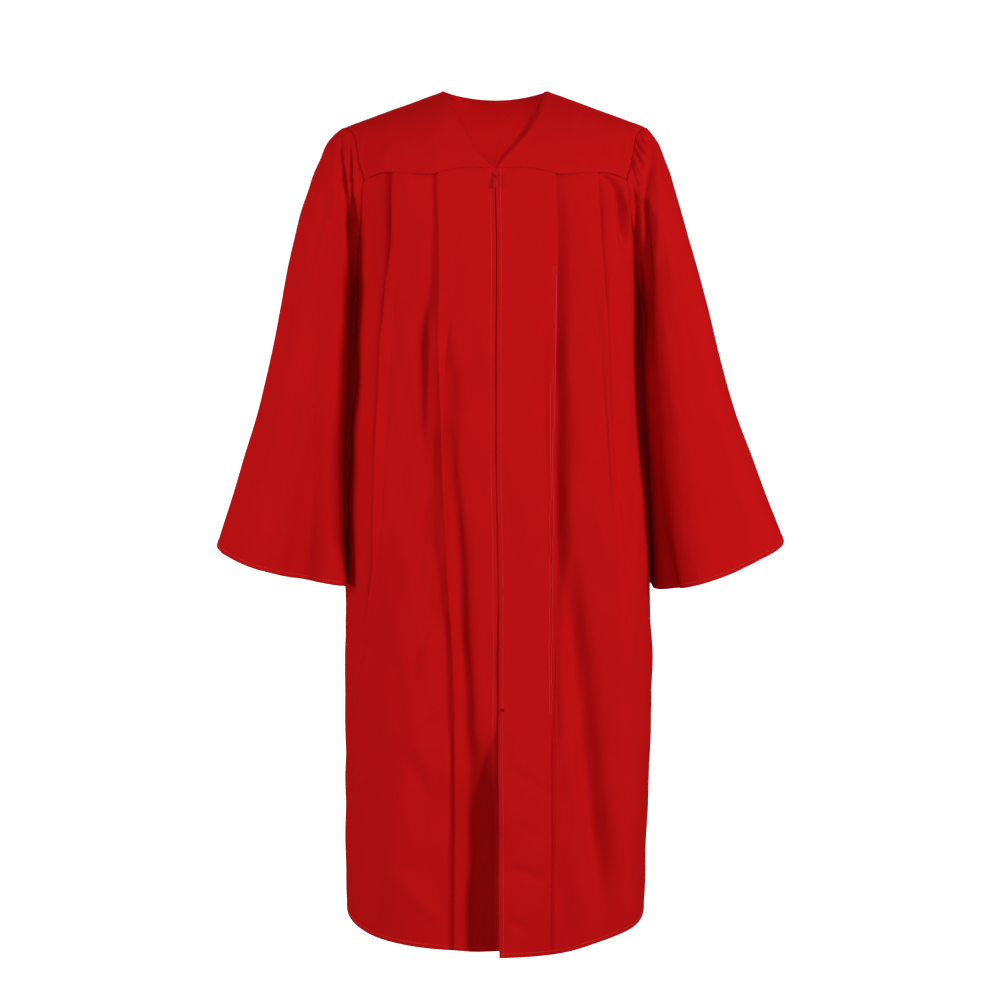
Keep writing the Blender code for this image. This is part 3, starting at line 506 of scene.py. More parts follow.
# quadratic B-spline of each row's control points, at marks counted in spans
def curveThrough(control, marks):
    span = np.clip(marks.astype(int), 0, len(control) - 3)
    t = (marks - span)[:, None, None]
    first, second, third = control[span], control[span + 1], control[span + 2]
    curve = 0.5 * ((1 - t) ** 2 * first + (1 + 2 * t - 2 * t * t) * second + t * t * third)
    return curve.transpose(1, 0, 2)


# marks at which each span is cut into equal steps of about the given spacing, the last span's
# nearer together at the sewn edge, which lies half way along it
def evenMarks(control, spacing):
    middles = 0.5 * (control[1:] + control[:-1])
    lengths = np.linalg.norm(np.diff(middles, axis=0), axis=-1).max(axis=1)
    counts = np.maximum(np.ceil(lengths / spacing).astype(int), 2)
    marks = [k + np.arange(n) / n for k, n in enumerate(counts[:-1])]
    last = len(counts) - 1
    return np.concatenate(marks + [[last, last + 0.17, last + 0.33, last + 1]])


# corners of every level section as (distance round the body, distance out): for each pleat its
# root, its crest, the layer back under it, and a flat shelf past the crest
def pleatCorners(z, start, half, end, turns, lengths):
    def along(turn):
        return np.array([np.interp(t, turns, row) for t, row in zip(turn, lengths)])
    first = np.stack((along(turnAt(start[0], z)), start[1]), -1)
    corners = [first, first + np.array((panels["placket"], 0))]
    loose = [True]
    gap = panels["foldGap"]
    for rows in pleats[half]:
        crestX, width, lean, crestOut = (smooth(rows, n, z) for n in pleat.split()[1:])
        lean = np.radians(lean)
        opened = 1 - softStep(*panels["parting"], width)
        reach = gap + panels["openGap"] * opened
        away = np.stack((-np.sin(lean), np.cos(lean)), -1) * reach[:, None]
        foot = np.stack((panels["openFoot"] * opened, 0 * z), -1)
        crest = np.stack((along(turnAt(crestX, z)), crestOut), -1)
        root = crest - np.stack((np.cos(lean), np.sin(lean)), -1) * width[:, None] - foot
        drop = np.stack((0.3 * gap + 0 * z, -gap * np.maximum(np.cos(lean), 0)), -1)
        under = root - away + foot * 2
        past = np.maximum(crest[:, 0], under[:, 0]) + panels["shelf"]
        corners += [root, crest, crest - away, under, under + drop,
                    np.stack((past, (under + drop)[:, 1]), -1)]
        loose += [True, True, False, True, False, False]
    corners.append(np.stack((along(end), 0 * z), -1))
    loose.append(True)
    return corners, loose


# sum of the long folds: a bell across each, eased in from its top and out to its bottom
def softDepth(rows, x, z):
    total = 0 * x
    for zTop, xTop, zEnd, xEnd, halfWidth, height, atHem in zip(*(rows[n] for n in soft.split())):
        along = np.clip((zTop - z) / (zTop - zEnd), 0, 1)
        strength = softStep(0, 0.45, along) * np.maximum(1 - softStep(0.7, 1, along), atHem)
        total = total + height * strength * bell((x - xTop - (xEnd - xTop) * along) / halfWidth)
    return total


# sum of the short creases: a bell of the distance from each bowed line, 4u(1-u) along it. A skew
# makes it narrower on the side where aside is positive and wider on the other
def creaseDepth(rows, x, z):
    total = 0 * x
    skews = rows.get("skew", 0 * rows["bow"])
    for x1, z1, x2, z2, width, height, bow, skew in zip(*(rows[n] for n in crease.split()), skews):
        length = np.hypot(x2 - x1, z2 - z1)
        ux, uz = (x2 - x1) / length, (z2 - z1) / length
        along = np.clip(((x - x1) * ux + (z - z1) * uz) / length, 0, 1)
        arch = 4 * along * (1 - along)
        aside = (x - x1) * -uz + (z - z1) * ux - bow * arch
        aside = aside * (1 + skew * np.sign(aside))
        beyond = np.maximum(np.abs((x - x1) * ux + (z - z1) * uz - length / 2) - length / 2, 0)
        total = total + height * arch * bell(aside / width) * bell(beyond / width)
    return total


# faint unevenness of hanging cloth: a sum of slanting sine waves with fixed phases
wander = table(
    "acrossPerM downPerM phase height",
    (9.0, 2.1, 0.4, 0.0011),
    (17.0, -3.2, 2.1, 0.0007),
    (26.0, 5.5, 4.4, 0.00045),
    (6.0, 7.5, 1.3, 0.0006),
    (41.0, -9.0, 3.3, 0.00022),
)


def unevenness(across, down):
    waves = (wander[n][:, None, None] for n in ("acrossPerM", "downPerM", "phase", "height"))
    u, v, phase, height = waves
    return (height * np.sin(2 * np.pi * (u * across + v * down) + phase)).sum(axis=0)


# one half of the fronts or back, from its yoke seam down to its hem and from its middle
# outwards: the pleated section laid on the body at each height, with all its folds added
def panelGrid(half):
    front = half.startswith("front")
    side = 1 if half.endswith("Left") else -1
    seam, armhole = (yokeSeam, armholeFront) if front else (backSeam, armholeBack)
    hem = hems[half] if front else hems["back"]
    top, bottom = seam["z"][0], hem["z"][0]
    fine = edgeRows / (top - bottom)
    share = np.unique(np.concatenate((np.linspace(0, 1, panels["rows"]), fine, 1 - fine)))
    z = top + (bottom - top) * share
    seamWeight = np.clip(1 - share / panels["seamEase"], 0, 1) ** 2
    hemWeight = np.clip(1 - (1 - share) / panels["hemEase"], 0, 1) ** 2
    edgeZ = z + seamWeight * (seam["z"][-1] - top) + hemWeight * (hem["z"][-1] - bottom)
    sideTurn = np.radians(89.99)
    edgeTurn = np.where(edgeZ > body["underarm"], np.radians(smooth(armhole, "turn", edgeZ)), sideTurn)
    start = (0 * z, 0 * z)
    if front:
        start = tuple(smooth(frontEdges[half], n, z) for n in ("x", "out"))
    turns, lengths = roundBody(z)
    corners, loose = pleatCorners(z, start, half, edgeTurn, turns, lengths)
    control = eased(corners, loose)
    curve = curveThrough(control, evenMarks(control, panels["spacing"]))
    curve[:, 0], curve[:, -1] = corners[0], corners[-1]
    turn = np.array([np.interp(row, lens, turns) for row, lens in zip(curve[..., 0], lengths)])
    column = z[:, None]
    x = bodyPoint(turn, column)[..., 0]
    away = np.abs(x)
    inner = softStep(*panels["lapSpan"][:2], away) if front else 1.0
    lap = inner * (1 - softStep(*panels["lapSpan"][2:], away))
    lap = lap * (panels["lap"] + seamGap) - seamGap
    shift = seamWeight[:, None] * (smooth(seam, "z", away, "x") + lap - top)
    shift = shift + hemWeight[:, None] * (smooth(hem, "z", x if front else away, "x") - bottom)
    height = column + shift
    sunk = softStep(*panels["lapSink"], away) if front else 1.0
    sunk = sunk * (1 - softStep(0, 0.012, share))[:, None]
    loosened = (softStep(0.02, 0.2, share) * (1 - 0.4 * softStep(0.9, 1, share)))[:, None]
    fromHem = (1 - share)[:, None] * (top - bottom)
    fold = softDepth(softFolds[half], x, height) + creaseDepth(creases[half], x, height)
    if half in steepFolds:
        fold = fold + creaseDepth(steepFolds[half], x, height)
    fold = fold + unevenness(x * side + (0 if front else 3.1), height) * loosened
    fold = fold + panels["hemSwell"] * (1 - softStep(0.9, 1.15, fromHem / panels["hemDepth"]))
    fold = fold - panels["hemSwell"] * 0.7 * bell((fromHem - panels["hemDepth"]) / 0.0008)
    fromSide = curve[:, -1:, 0] - curve[..., 0]
    atSleeve = softStep(body["underarm"] - 0.004, body["underarm"] + 0.004, edgeZ)[:, None]
    tuck = bell(fromSide / 0.0011) * (0.4 + 0.6 * atSleeve)
    fold = fold * softStep(-0.001, 0.006, fromSide) - panels["tuck"] * tuck
    fold = fold + panels["puff"] * bell((fromSide - 0.0045) / 0.0035) * (0.5 + 0.5 * atSleeve)
    if front:
        fromEdge = np.abs(curve[..., 0] - curve[:, :1, 0])
        above = 1 - softStep(-0.915, -0.935, column)
        fold = fold + panels["edgeRoll"] * bell((fromEdge - 0.0016) / 0.0022) * above
        fold = fold - 0.0005 * bell((fromEdge - 0.0070) / 0.0008)
    out = curve[..., 1] + fold - panels["lapDepth"] * sunk
    height = height + panels["hemLevel"] * out * hemWeight[:, None]
    facing = turn if front else np.pi - turn
    points = bodyPoint(facing, height) + bodyOut(facing, height) * out[..., None]
    sway = smooth(body["ovals"], "sway", height)
    points[..., 0] = side * (points[..., 0] - sway) + sway
    # below the armhole the front's side edge meets the back's
    points[:, -1, 1] *= 1 - panels["sideMeets"] * (1 - atSleeve[:, 0])
    return points


# yokes
yokes = {
    "neckDepth": 0.1137,
    "backNeckDrop": 0.0110,
    "across": 54,            # columns in a half, closer together near its edges
    "down": 46,
    "tuck": 0.0008,          # how far the sewn edges turn in
    "tuckReach": 0.0011,
    "puff": 0.0007,          # the soft roll beside them
    "neckTuck": 0.0008,
    "shoulderMeets": 1.0,  # share of the gap between front and back that the shoulder seam closes
    # the turned edge's columns, across, back and up, in shares of what shows of it: it goes
    # straight in at the edge, then runs level, deep enough to lie in the edge's shadow
    "turnedEdge": ((-1.0, 1.3, 0), (-0.5, 1.25, 0), (-0.1, 1.1, 0), (-0.02, 0.5, 0)),
}
# the V neck's edge on each side, and how far its turned edge shows inside it
neckline = table(
    "z right left rightTurned leftTurned",
    (0.0000, 0.0770, 0.0770, 0.0004, 0.0035),
    (-0.0180, 0.0665, 0.0705, 0.0008, 0.0090),
    (-0.0466, 0.0503, 0.0567, 0.0012, 0.0090),
    (-0.0760, 0.0336, 0.0342, 0.0016, 0.0075),
    (-0.1000, 0.0165, 0.0118, 0.0016, 0.0048),
    (-0.1137, 0.0012, 0.0012, 0.0006, 0.0006),
)
yokeCreases = {
    "right": table(
        crease,
        (0.0560, -0.060, 0.0400, -0.112, 0.0080, -0.0012, 0.002),
        (0.1500, -0.060, 0.1850, -0.120, 0.0120, -0.0014, 0.006),
        (0.1900, -0.070, 0.1990, -0.122, 0.0050, -0.0016, 0.002),
        (0.0900, -0.030, 0.0740, -0.110, 0.0200, 0.0012, 0.004),
    ),
    "left": table(
        crease,
        (0.0500, -0.065, 0.0360, -0.110, 0.0070, -0.0010, 0.002),
        (0.1000, -0.040, 0.1240, -0.110, 0.0150, 0.0016, 0.005),
        (0.1700, -0.060, 0.1900, -0.122, 0.0090, -0.0020, 0.004),
        (0.1980, -0.062, 0.2000, -0.120, 0.0040, -0.0018, 0.002),
        (0.1550, -0.050, 0.1480, -0.110, 0.0120, -0.0010, 0.003),
    ),
    "back": table(
        crease,
        (0.0300, -0.030, 0.0360, -0.125, 0.0180, 0.0012, 0.003),
        (0.1250, -0.050, 0.1550, -0.125, 0.0150, -0.0014, 0.005),
        (0.1900, -0.070, 0.1960, -0.125, 0.0060, -0.0018, 0.002),
        (0.0800, -0.040, 0.0700, -0.120, 0.0160, -0.0010, 0.003),
    ),
}


# points along a line at shares of its length
def between(line, share):
    lengths = np.concatenate(([0], np.cumsum(np.linalg.norm(np.diff(line, axis=0), axis=1))))
    return np.stack([np.interp(share * lengths[-1], lengths, line[:, k]) for k in (0, 1)], -1)


# Coons patch: the blends of opposite edges added, less the blend of the four corners
def coons(top, bottom, inner, outer, across, down):
    u, v = across[None, :, None], down[:, None, None]
    top, bottom = between(top, across)[None], between(bottom, across)[None]
    inner, outer = between(inner, down)[:, None], between(outer, down)[:, None]
    corners = (top[:, :1] * (1 - u) + top[:, -1:] * u) * (1 - v)
    corners = corners + (bottom[:, :1] * (1 - u) + bottom[:, -1:] * u) * v
    return inner * (1 - u) + outer * u + top * (1 - v) + bottom * v - corners


# an armhole seen from the front, as (x, z)
def armholeLine(rows, low, high, count=80):
    z = np.linspace(high, low, count)
    turn = np.radians(smooth(rows, "turn", z))
    power = 2 / body["roundness"]
    return np.stack((smooth(body["ovals"], "halfWidth", z) * np.sin(turn) ** power, z), -1)


# how far a yoke stands out: its creases and unevenness, a roll beside each seam and the edge of
# the cloth turned in at it. middle says that its first column is no edge but the middle back
def yokeOut(flat, points, rows, shiftAcross, middle=False):
    fromLeft, fromTop = gridLengths(points, 1), gridLengths(points, 0)
    fromRight, fromBottom = fromLeft[:, -1:] - fromLeft, fromTop[-1:] - fromTop
    out = creaseDepth(rows, flat[..., 0], flat[..., 1])
    out = out + 0.6 * unevenness(flat[..., 0] + shiftAcross, flat[..., 1])
    nearest = np.minimum(np.minimum(fromRight, fromBottom), fromTop)
    out = out * softStep(0, 0.012, np.minimum(nearest, 1.0 if middle else fromLeft))
    seams = bell(fromBottom / yokes["tuckReach"]) + bell(fromTop / yokes["tuckReach"])
    out = out - yokes["tuck"] * (seams + bell(fromRight / yokes["tuckReach"]))
    out = out + yokes["puff"] * bell((fromBottom - 0.004) / 0.0035)
    out = out + 0.4 * yokes["puff"] * bell((fromTop - 0.004) / 0.003)
    if not middle:
        out = out - yokes["neckTuck"] * bell(fromLeft / yokes["tuckReach"])
        out = out + 0.0005 * bell((fromLeft - 0.0025) / 0.002)
    return out


# half the front yoke: a patch drawn flat from the front, then laid on the body
def frontYokeGrid(side, rows):
    x = np.linspace(body["neckHalf"], body["shoulderHalf"], 30)
    top = np.stack((x, shoulderLine(x)), -1)
    z = np.linspace(0, -yokes["neckDepth"], 60)
    name = "left" if side > 0 else "right"
    inner = np.stack((smooth(neckline, name, z), z), -1)
    outer = armholeLine(armholeFront, yokeSeam["z"][-1], -body["shoulderDrop"])
    x = np.linspace(inner[-1, 0], outer[-1, 0], 80)
    bottom = np.stack((x, smooth(yokeSeam, "z", x, "x")), -1)
    flat = coons(top, bottom, inner, outer, edgeShares(yokes["across"]), edgeShares(yokes["down"]))
    turn = turnAt(flat[..., 0], flat[..., 1])
    points = bodyPoint(turn, flat[..., 1])
    out = yokeOut(flat, points, rows, 1.7 * side)
    points = points + bodyOut(turn, flat[..., 1]) * out[..., None]
    points[0, :, 1] *= 1 - yokes["shoulderMeets"]
    turned = smooth(neckline, name + "Turned", flat[:, :1, 1])[..., None]
    under = [points[:, :1] + turned * np.array(step) for step in yokes["turnedEdge"]]
    points = np.concatenate(under + [points], 1)
    points[..., 0] *= side
    return points[:, ::side]


# the back yoke from armhole to armhole, one half mirrored
def backYokeGrid():
    neckX = np.linspace(0, body["neckHalf"], 24)
    neck = np.stack((neckX, -yokes["backNeckDrop"] * (1 - (neckX / body["neckHalf"]) ** 2)), -1)
    shoulderX = np.linspace(body["neckHalf"], body["shoulderHalf"], 24)
    top = np.concatenate((neck[:-1], np.stack((shoulderX, shoulderLine(shoulderX)), -1)))
    outer = armholeLine(armholeBack, backSeam["z"][-1], -body["shoulderDrop"])
    x = np.linspace(0, outer[-1, 0], 80)
    bottom = np.stack((x, smooth(backSeam, "z", x, "x")), -1)
    inner = np.stack((0 * neckX, np.linspace(-yokes["backNeckDrop"], backSeam["z"][0], 24)), -1)
    across = np.sin(np.linspace(0, np.pi / 2, yokes["across"] + 8))
    flat = coons(top, bottom, inner, outer, across, edgeShares(yokes["down"]))
    turn = np.pi - turnAt(flat[..., 0], flat[..., 1])
    points = bodyPoint(turn, flat[..., 1])
    outward = bodyOut(turn, flat[..., 1])
    halves = [points + outward * yokeOut(flat, points, yokeCreases["back"], k, True)[..., None]
              for k in (2.3, 5.9)]
    mirrored = halves[1][:, :0:-1] * np.array((-1, 1, 1))
    middle = 0.5 * (halves[0][:, :1] + halves[1][:, :1])
    points = np.concatenate((mirrored, middle, halves[0][:, 1:]), 1)[:, ::-1]
    onShoulder = np.abs(points[0, :, 0]) > body["neckHalf"] - 0.001
    points[0, onShoulder, 1] *= 1 - yokes["shoulderMeets"]
    return points


# sleeves
sleeves = {
    "columns": 270,
    "rows": 122,
    "gathers": 7,
    "gatherHeight": 0.0016,
    "gatherShares": (0.03, 0.05, 0.24),
    "gatherPitch": 1.6,
    "gatherReach": (125, 85),
    "headStep": 0.0005,      # space between the armhole's edge and the sleeve's, and its shares
    "headOut": 0.55,
    "headIn": 0.83,
    "underarmStep": 0.0018,
    "headBlend": 0.16,
    "ovalPower": 0.9,
    "backSwing": 0.50,       # how far the inner side reaches in behind the back, by the depth there
    "swingGrown": 0.12,
    "sewnIn": ((0.0110, 0.0060), (0.0045, 0.0048), (0.0012, 0.0030)),  # the edge's rows behind the body, and depth
    "valley": {"right": 0.0130, "left": 0.0110},   # depth of the fold beside the front armhole
    "hemDepth": 0.0075,
    "hemSwell": 0.0006,
    "cuffLevel": 0.7,        # how far folds near the cuff are kept from lifting its edge
}
sleeveRows = table(
    "share rightZ leftZ rightX leftX rightIn leftIn innerX front back",
    (0.00, -0.0528, -0.0528, 0.2246, 0.2246, -0.300, -0.300, 0.2150, 0.062, 0.060),
    (0.03, -0.0640, -0.0640, 0.2420, 0.2360, -0.318, -0.318, 0.2185, 0.064, 0.063),
    (0.08, -0.1000, -0.1000, 0.2632, 0.2545, -0.345, -0.345, 0.2205, 0.067, 0.068),
    (0.15, -0.1450, -0.1450, 0.2815, 0.2700, -0.380, -0.380, 0.2210, 0.070, 0.074),
    (0.25, -0.2150, -0.2150, 0.3050, 0.2900, -0.430, -0.430, 0.2235, 0.074, 0.082),
    (0.40, -0.3200, -0.3200, 0.3285, 0.3215, -0.509, -0.509, 0.2290, 0.080, 0.092),
    (0.58, -0.4300, -0.4300, 0.3530, 0.3500, -0.596, -0.596, 0.2350, 0.088, 0.104),
    (0.78, -0.5600, -0.5580, 0.3910, 0.3960, -0.689, -0.693, 0.2405, 0.096, 0.114),
    (1.00, -0.6880, -0.6810, 0.4331, 0.4451, -0.742, -0.757, 0.2435, 0.102, 0.120),
)
# folds that grow down a sleeve: turn in degrees, 0 at its outer edge and 90 in front
bellFold = "turnTop turnEnd halfWidth height start"
bellFolds = {
    "right": table(
        bellFold,
        (98, 122, 15, -0.014, 0.32),
        (150, 146, 14, 0.034, 0.15),
        (60, 78, 20, 0.005, 0.35),
        (-70, -62, 20, -0.016, 0.30),
        (-120, -128, 20, -0.018, 0.25),
    ),
    "left": table(
        bellFold,
        (106, 100, 22, 0.008, 0.10),
        (152, 146, 15, -0.022, 0.35),
        (60, 66, 20, -0.004, 0.40),
        (-66, -74, 20, -0.015, 0.30),
        (-116, -122, 22, -0.019, 0.25),
    ),
}
# folds of the gathered head and creases further down, each between two shares of the length
sleeveFold = "turn1 share1 turn2 share2 halfWidth height"
sleeveFolds = {
    "right": table(
        sleeveFold,
        (70, 0.02, 84, 0.34, 7.0, 0.0024),
        (-36, 0.00, -46, 0.15, 4.0, 0.0032),
        (-60, 0.00, -70, 0.20, 4.0, -0.0038),
        (-84, 0.00, -92, 0.24, 4.8, 0.0040),
        (-108, 0.01, -118, 0.28, 4.8, -0.0034),
        (30, 0.45, 44, 0.80, 13.5, 0.0014),
        (58, 0.62, 84, 0.95, 12.0, -0.0014),
        (12, 0.30, 20, 0.62, 12.0, -0.0010),
        (-30, 0.50, -44, 0.90, 13.5, 0.0015),
        (-92, 0.55, -98, 0.95, 12.0, 0.0017),
    ),
    "left": table(
        sleeveFold,
        (70, 0.02, 84, 0.34, 7.0, 0.0024),
        (-30, 0.00, -34, 0.14, 3.6, 0.0034),
        (-52, 0.00, -58, 0.18, 4.0, -0.0042),
        (-76, 0.00, -84, 0.24, 4.0, 0.0045),
        (-100, 0.01, -108, 0.27, 4.4, -0.0042),
        (-122, 0.01, -130, 0.30, 4.8, 0.0038),
        (48, 0.32, 62, 0.86, 13.5, 0.0019),
        (30, 0.50, 34, 0.92, 12.0, -0.0012),
        (84, 0.55, 96, 0.92, 10.5, -0.0017),
        (-34, 0.46, -40, 0.88, 13.5, 0.0015),
        (-94, 0.50, -90, 0.94, 12.0, 0.0017),
    ),
}
# creases and small puckers at the front of the head, seen from the front, x outwards
headCreases = {
    "right": table(
        crease + " skew",
        (0.2290, -0.0500, 0.2215, -0.1850, 0.0038, -0.0060, 0.000, 0.0),
        (0.2245, -0.1100, 0.2110, -0.2300, 0.0042, -0.0105, 0.001, 0.0),
        (0.2180, -0.1600, 0.2060, -0.3000, 0.0060, -0.0170, 0.000, 0.0),
        (0.2165, -0.0600, 0.2065, -0.2100, 0.0028, -0.0055, 0.000, 0.0),
        (0.2225, -0.0650, 0.2130, -0.2000, 0.0030, 0.0030, 0.000, 0.0),
        (0.2100, -0.0850, 0.2020, -0.2150, 0.0026, 0.0030, 0.000, 0.0),
        (0.2350, -0.0750, 0.2330, -0.2500, 0.0070, 0.0045, 0.002, -0.3),
        (0.2140, -0.0610, 0.2240, -0.0670, 0.0022, 0.0018, 0.000, 0.0),
    ),
    "left": table(
        crease + " skew",
        (0.2255, -0.0480, 0.2290, -0.1350, 0.0034, -0.0050, 0.006, 0.0),
        (0.2325, -0.0900, 0.2215, -0.1950, 0.0038, -0.0070, -0.003, 0.0),
        (0.2225, -0.1350, 0.2245, -0.3050, 0.0048, -0.0110, 0.000, 0.0),
        (0.2235, -0.2200, 0.2280, -0.4200, 0.0060, -0.0120, 0.000, 0.0),
        (0.2050, -0.0950, 0.2180, -0.3000, 0.0042, 0.0060, 0.000, 0.0),
        (0.2370, -0.0850, 0.2350, -0.2700, 0.0060, 0.0045, 0.004, -0.3),
        (0.2120, -0.0590, 0.2255, -0.0700, 0.0022, 0.0030, 0.001, 0.0),
        (0.2090, -0.0610, 0.2250, -0.0800, 0.0021, -0.0042, 0.001, 0.0),
        (0.2075, -0.0690, 0.2240, -0.0880, 0.0020, 0.0030, -0.001, 0.0),
        (0.2055, -0.0740, 0.2260, -0.0965, 0.0022, -0.0048, -0.001, 0.0),
        (0.2050, -0.0860, 0.2180, -0.1000, 0.0020, 0.0034, 0.001, 0.0),
        (0.2040, -0.0900, 0.2210, -0.1150, 0.0021, -0.0042, 0.001, 0.0),
        (0.2060, -0.1030, 0.2160, -0.1250, 0.0022, 0.0034, 0.000, 0.0),
        (0.2000, -0.1080, 0.2100, -0.1450, 0.0024, -0.0036, 0.001, 0.0),
    ),
}


# a bell sleeve: an oval carried from armhole to cuff whose first part turns into the armhole's
# own line. Folds are bells of the turn, and the sewn edge runs in behind the armhole
def sleeveGrid(side):
    name = "left" if side > 0 else "right"
    length = 0.62
    fine = edgeRows / length
    share = np.unique(np.concatenate((np.linspace(0, 1, sleeves["rows"]) ** 1.15, 1 - fine, fine)))
    share = share[:, None]
    turn = np.linspace(0, 2 * np.pi, sleeves["columns"], endpoint=False)[None, :]
    turn = turn + 0.35 * (np.cos(turn) - 1)
    turn = np.where(turn < 0, turn + 2 * np.pi, turn)
    columns = (name + "X", name + "In", name + "Z", "innerX", "front", "back")
    outerX, innerZ, outerZ, innerX, front, back = (smooth(sleeveRows, n, share, "share") for n in columns)
    cosine, sine = np.cos(turn), np.sin(turn)
    swing = np.sign(cosine) * np.abs(cosine) ** sleeves["ovalPower"]
    x = (outerX + innerX) / 2 + (outerX - innerX) / 2 * swing
    z = (outerZ + innerZ) / 2 + (outerZ - innerZ) / 2 * swing
    y = np.where(sine >= 0, -front, back) * np.abs(sine) ** sleeves["ovalPower"]
    behind = np.where(sine < 0, np.abs(sine) ** (2 * sleeves["ovalPower"]) * (1 - swing) / 2, 0)
    x = x - sleeves["backSwing"] * back * behind * softStep(0, sleeves["swingGrown"], share)
    oval = np.stack((x, y, z), -1)
    tip, under = -body["shoulderDrop"], body["underarm"]
    headZ = (tip + under) / 2 + (tip - under) / 2 * cosine
    frontTurn = np.radians(smooth(armholeFront, "turn", headZ))
    backTurn = np.pi - np.radians(smooth(armholeBack, "turn", headZ))
    headTurn = np.where(sine >= 0, frontTurn, backTurn)
    head, outward = bodyPoint(headTurn, headZ), bodyOut(headTurn, headZ)
    inward = (head.mean(axis=1, keepdims=True) - head) * np.array((0, 1, 1))
    inward = inward / np.linalg.norm(inward, axis=-1, keepdims=True)
    head[..., 0] -= smooth(body["ovals"], "sway", head[..., 2])
    round1, round2 = np.roll(head, -1, axis=1), np.roll(head, 1, axis=1)
    behind = np.cross(outward, round1 - round2)
    behind = behind / np.linalg.norm(behind, axis=-1, keepdims=True)
    hidden = [head + behind * reach - outward * deep for reach, deep in sleeves["sewnIn"]]
    step = np.array((sleeves["headOut"], 0, 0)) + sleeves["headIn"] * inward
    head = head + sleeves["headStep"] * step
    head[..., 0] += sleeves["underarmStep"] * (0.5 - 0.5 * cosine) ** 2
    blend = np.clip(1 - share / sleeves["headBlend"], 0, 1)[..., None] ** 2
    points = oval + blend * (head - oval[:1])
    centre = points.mean(axis=1, keepdims=True)
    away = (points - centre) / np.linalg.norm(points - centre, axis=-1, keepdims=True)
    away[..., 2] *= 1 - sleeves["cuffLevel"] * softStep(0.5, 0.95, share)
    around = np.degrees(np.where(turn > np.pi, turn - 2 * np.pi, turn))
    grown, fading, gone = sleeves["gatherShares"]
    ripple = 0.5 - 0.5 * np.cos(np.radians(around) * sleeves["gathers"] * sleeves["gatherPitch"])
    fade = softStep(0, grown, share) * (1 - softStep(fading, gone, share))
    height = sleeves["gatherHeight"] * ripple * softStep(*sleeves["gatherReach"], np.abs(around)) * fade
    for row in zip(*(bellFolds[name][n] for n in bellFold.split())):
        turnTop, turnEnd, halfWidth, fold, start = row
        centreTurn = turnTop + (turnEnd - turnTop) * share
        height = height + fold * softStep(start, 1, share) * bell((around - centreTurn) / halfWidth)
    for row in zip(*(sleeveFolds[name][n] for n in sleeveFold.split())):
        turn1, share1, turn2, share2, halfWidth, fold = row
        along = np.clip((share - share1) / (share2 - share1), 0, 1)
        grow = softStep(0, 0.12, along) if share1 < 0.03 else softStep(0, 0.5, along)
        strength = grow * (1 - softStep(0.45, 1, along))
        height = height + fold * strength * bell((around - turn1 - (turn2 - turn1) * along) / halfWidth)
    fromSeam, fromCuff = share * length, (1 - share) * length
    inFront = softStep(50, 85, around) * (1 - softStep(140, 172, around))
    height = height - sleeves["valley"][name] * inFront * bell((fromSeam - 0.013) / 0.008)
    facing = softStep(8, 24, around) * (1 - softStep(165, 178, around))
    creased = creaseDepth(headCreases[name], points[..., 0], points[..., 2]) * facing
    outwards = gridNormals(points)
    outwards = outwards * -np.sign(outwards[..., 1:2])
    uneven = unevenness(around / 360, share * length + side)
    height = height + 0.3 * uneven * softStep(0.03, 0.3, share)
    height = height + 0.0010 * bell((fromSeam - 0.0045) / 0.0035)
    height = height + sleeves["hemSwell"] * (1 - softStep(0.9, 1.15, fromCuff / sleeves["hemDepth"]))
    height = height - 0.7 * sleeves["hemSwell"] * bell((fromCuff - sleeves["hemDepth"]) / 0.0008)
    points = points + away * height[..., None] + outwards * creased[..., None]
    points = np.concatenate(hidden + [points], 0)
    under = np.maximum(points[..., 2], under)
    points[..., 0] = side * points[..., 0] + smooth(body["ovals"], "sway", under)
    return points[:, ::-1] if side > 0 else points


# materials
red = (0.560, 0.0066, 0.0078)


# an empty node group with the named inputs and outputs, each a (name, kind) or (name, kind, value)
def nodeGroup(name, inputs, outputs):
    tree = bpy.data.node_groups.new(name, "ShaderNodeTree")
    for socket, kind, *value in inputs:
        made = tree.interface.new_socket(socket, in_out="INPUT", socket_type=kind)
        if value:
            made.default_value = value[0]
    for socket, kind in outputs:
        tree.interface.new_socket(socket, in_out="OUTPUT", socket_type=kind)
    return tree, tree.nodes.new("NodeGroupInput"), tree.nodes.new("NodeGroupOutput")


# a node with its sockets set: a number, a colour, or another node's output
def addNode(tree, kind, settings=None, **sockets):
    node = tree.nodes.new(kind)
    for key, value in (settings or {}).items():
        setattr(node, key, value)
    for key, value in sockets.items():
        socket = node.inputs[int(key[1:])] if key[1:].isdigit() else node.inputs[key.replace("_", " ")]
        if isinstance(value, bpy.types.NodeSocket):
            tree.links.new(value, socket)
        else:
            socket.default_value = value
    return node


# result of one sum on values
def doMath(tree, operation, *values):
    given = {f"i{k}": value for k, value in enumerate(values)}
    return addNode(tree, "ShaderNodeMath", {"operation": operation}, **given).outputs[0]


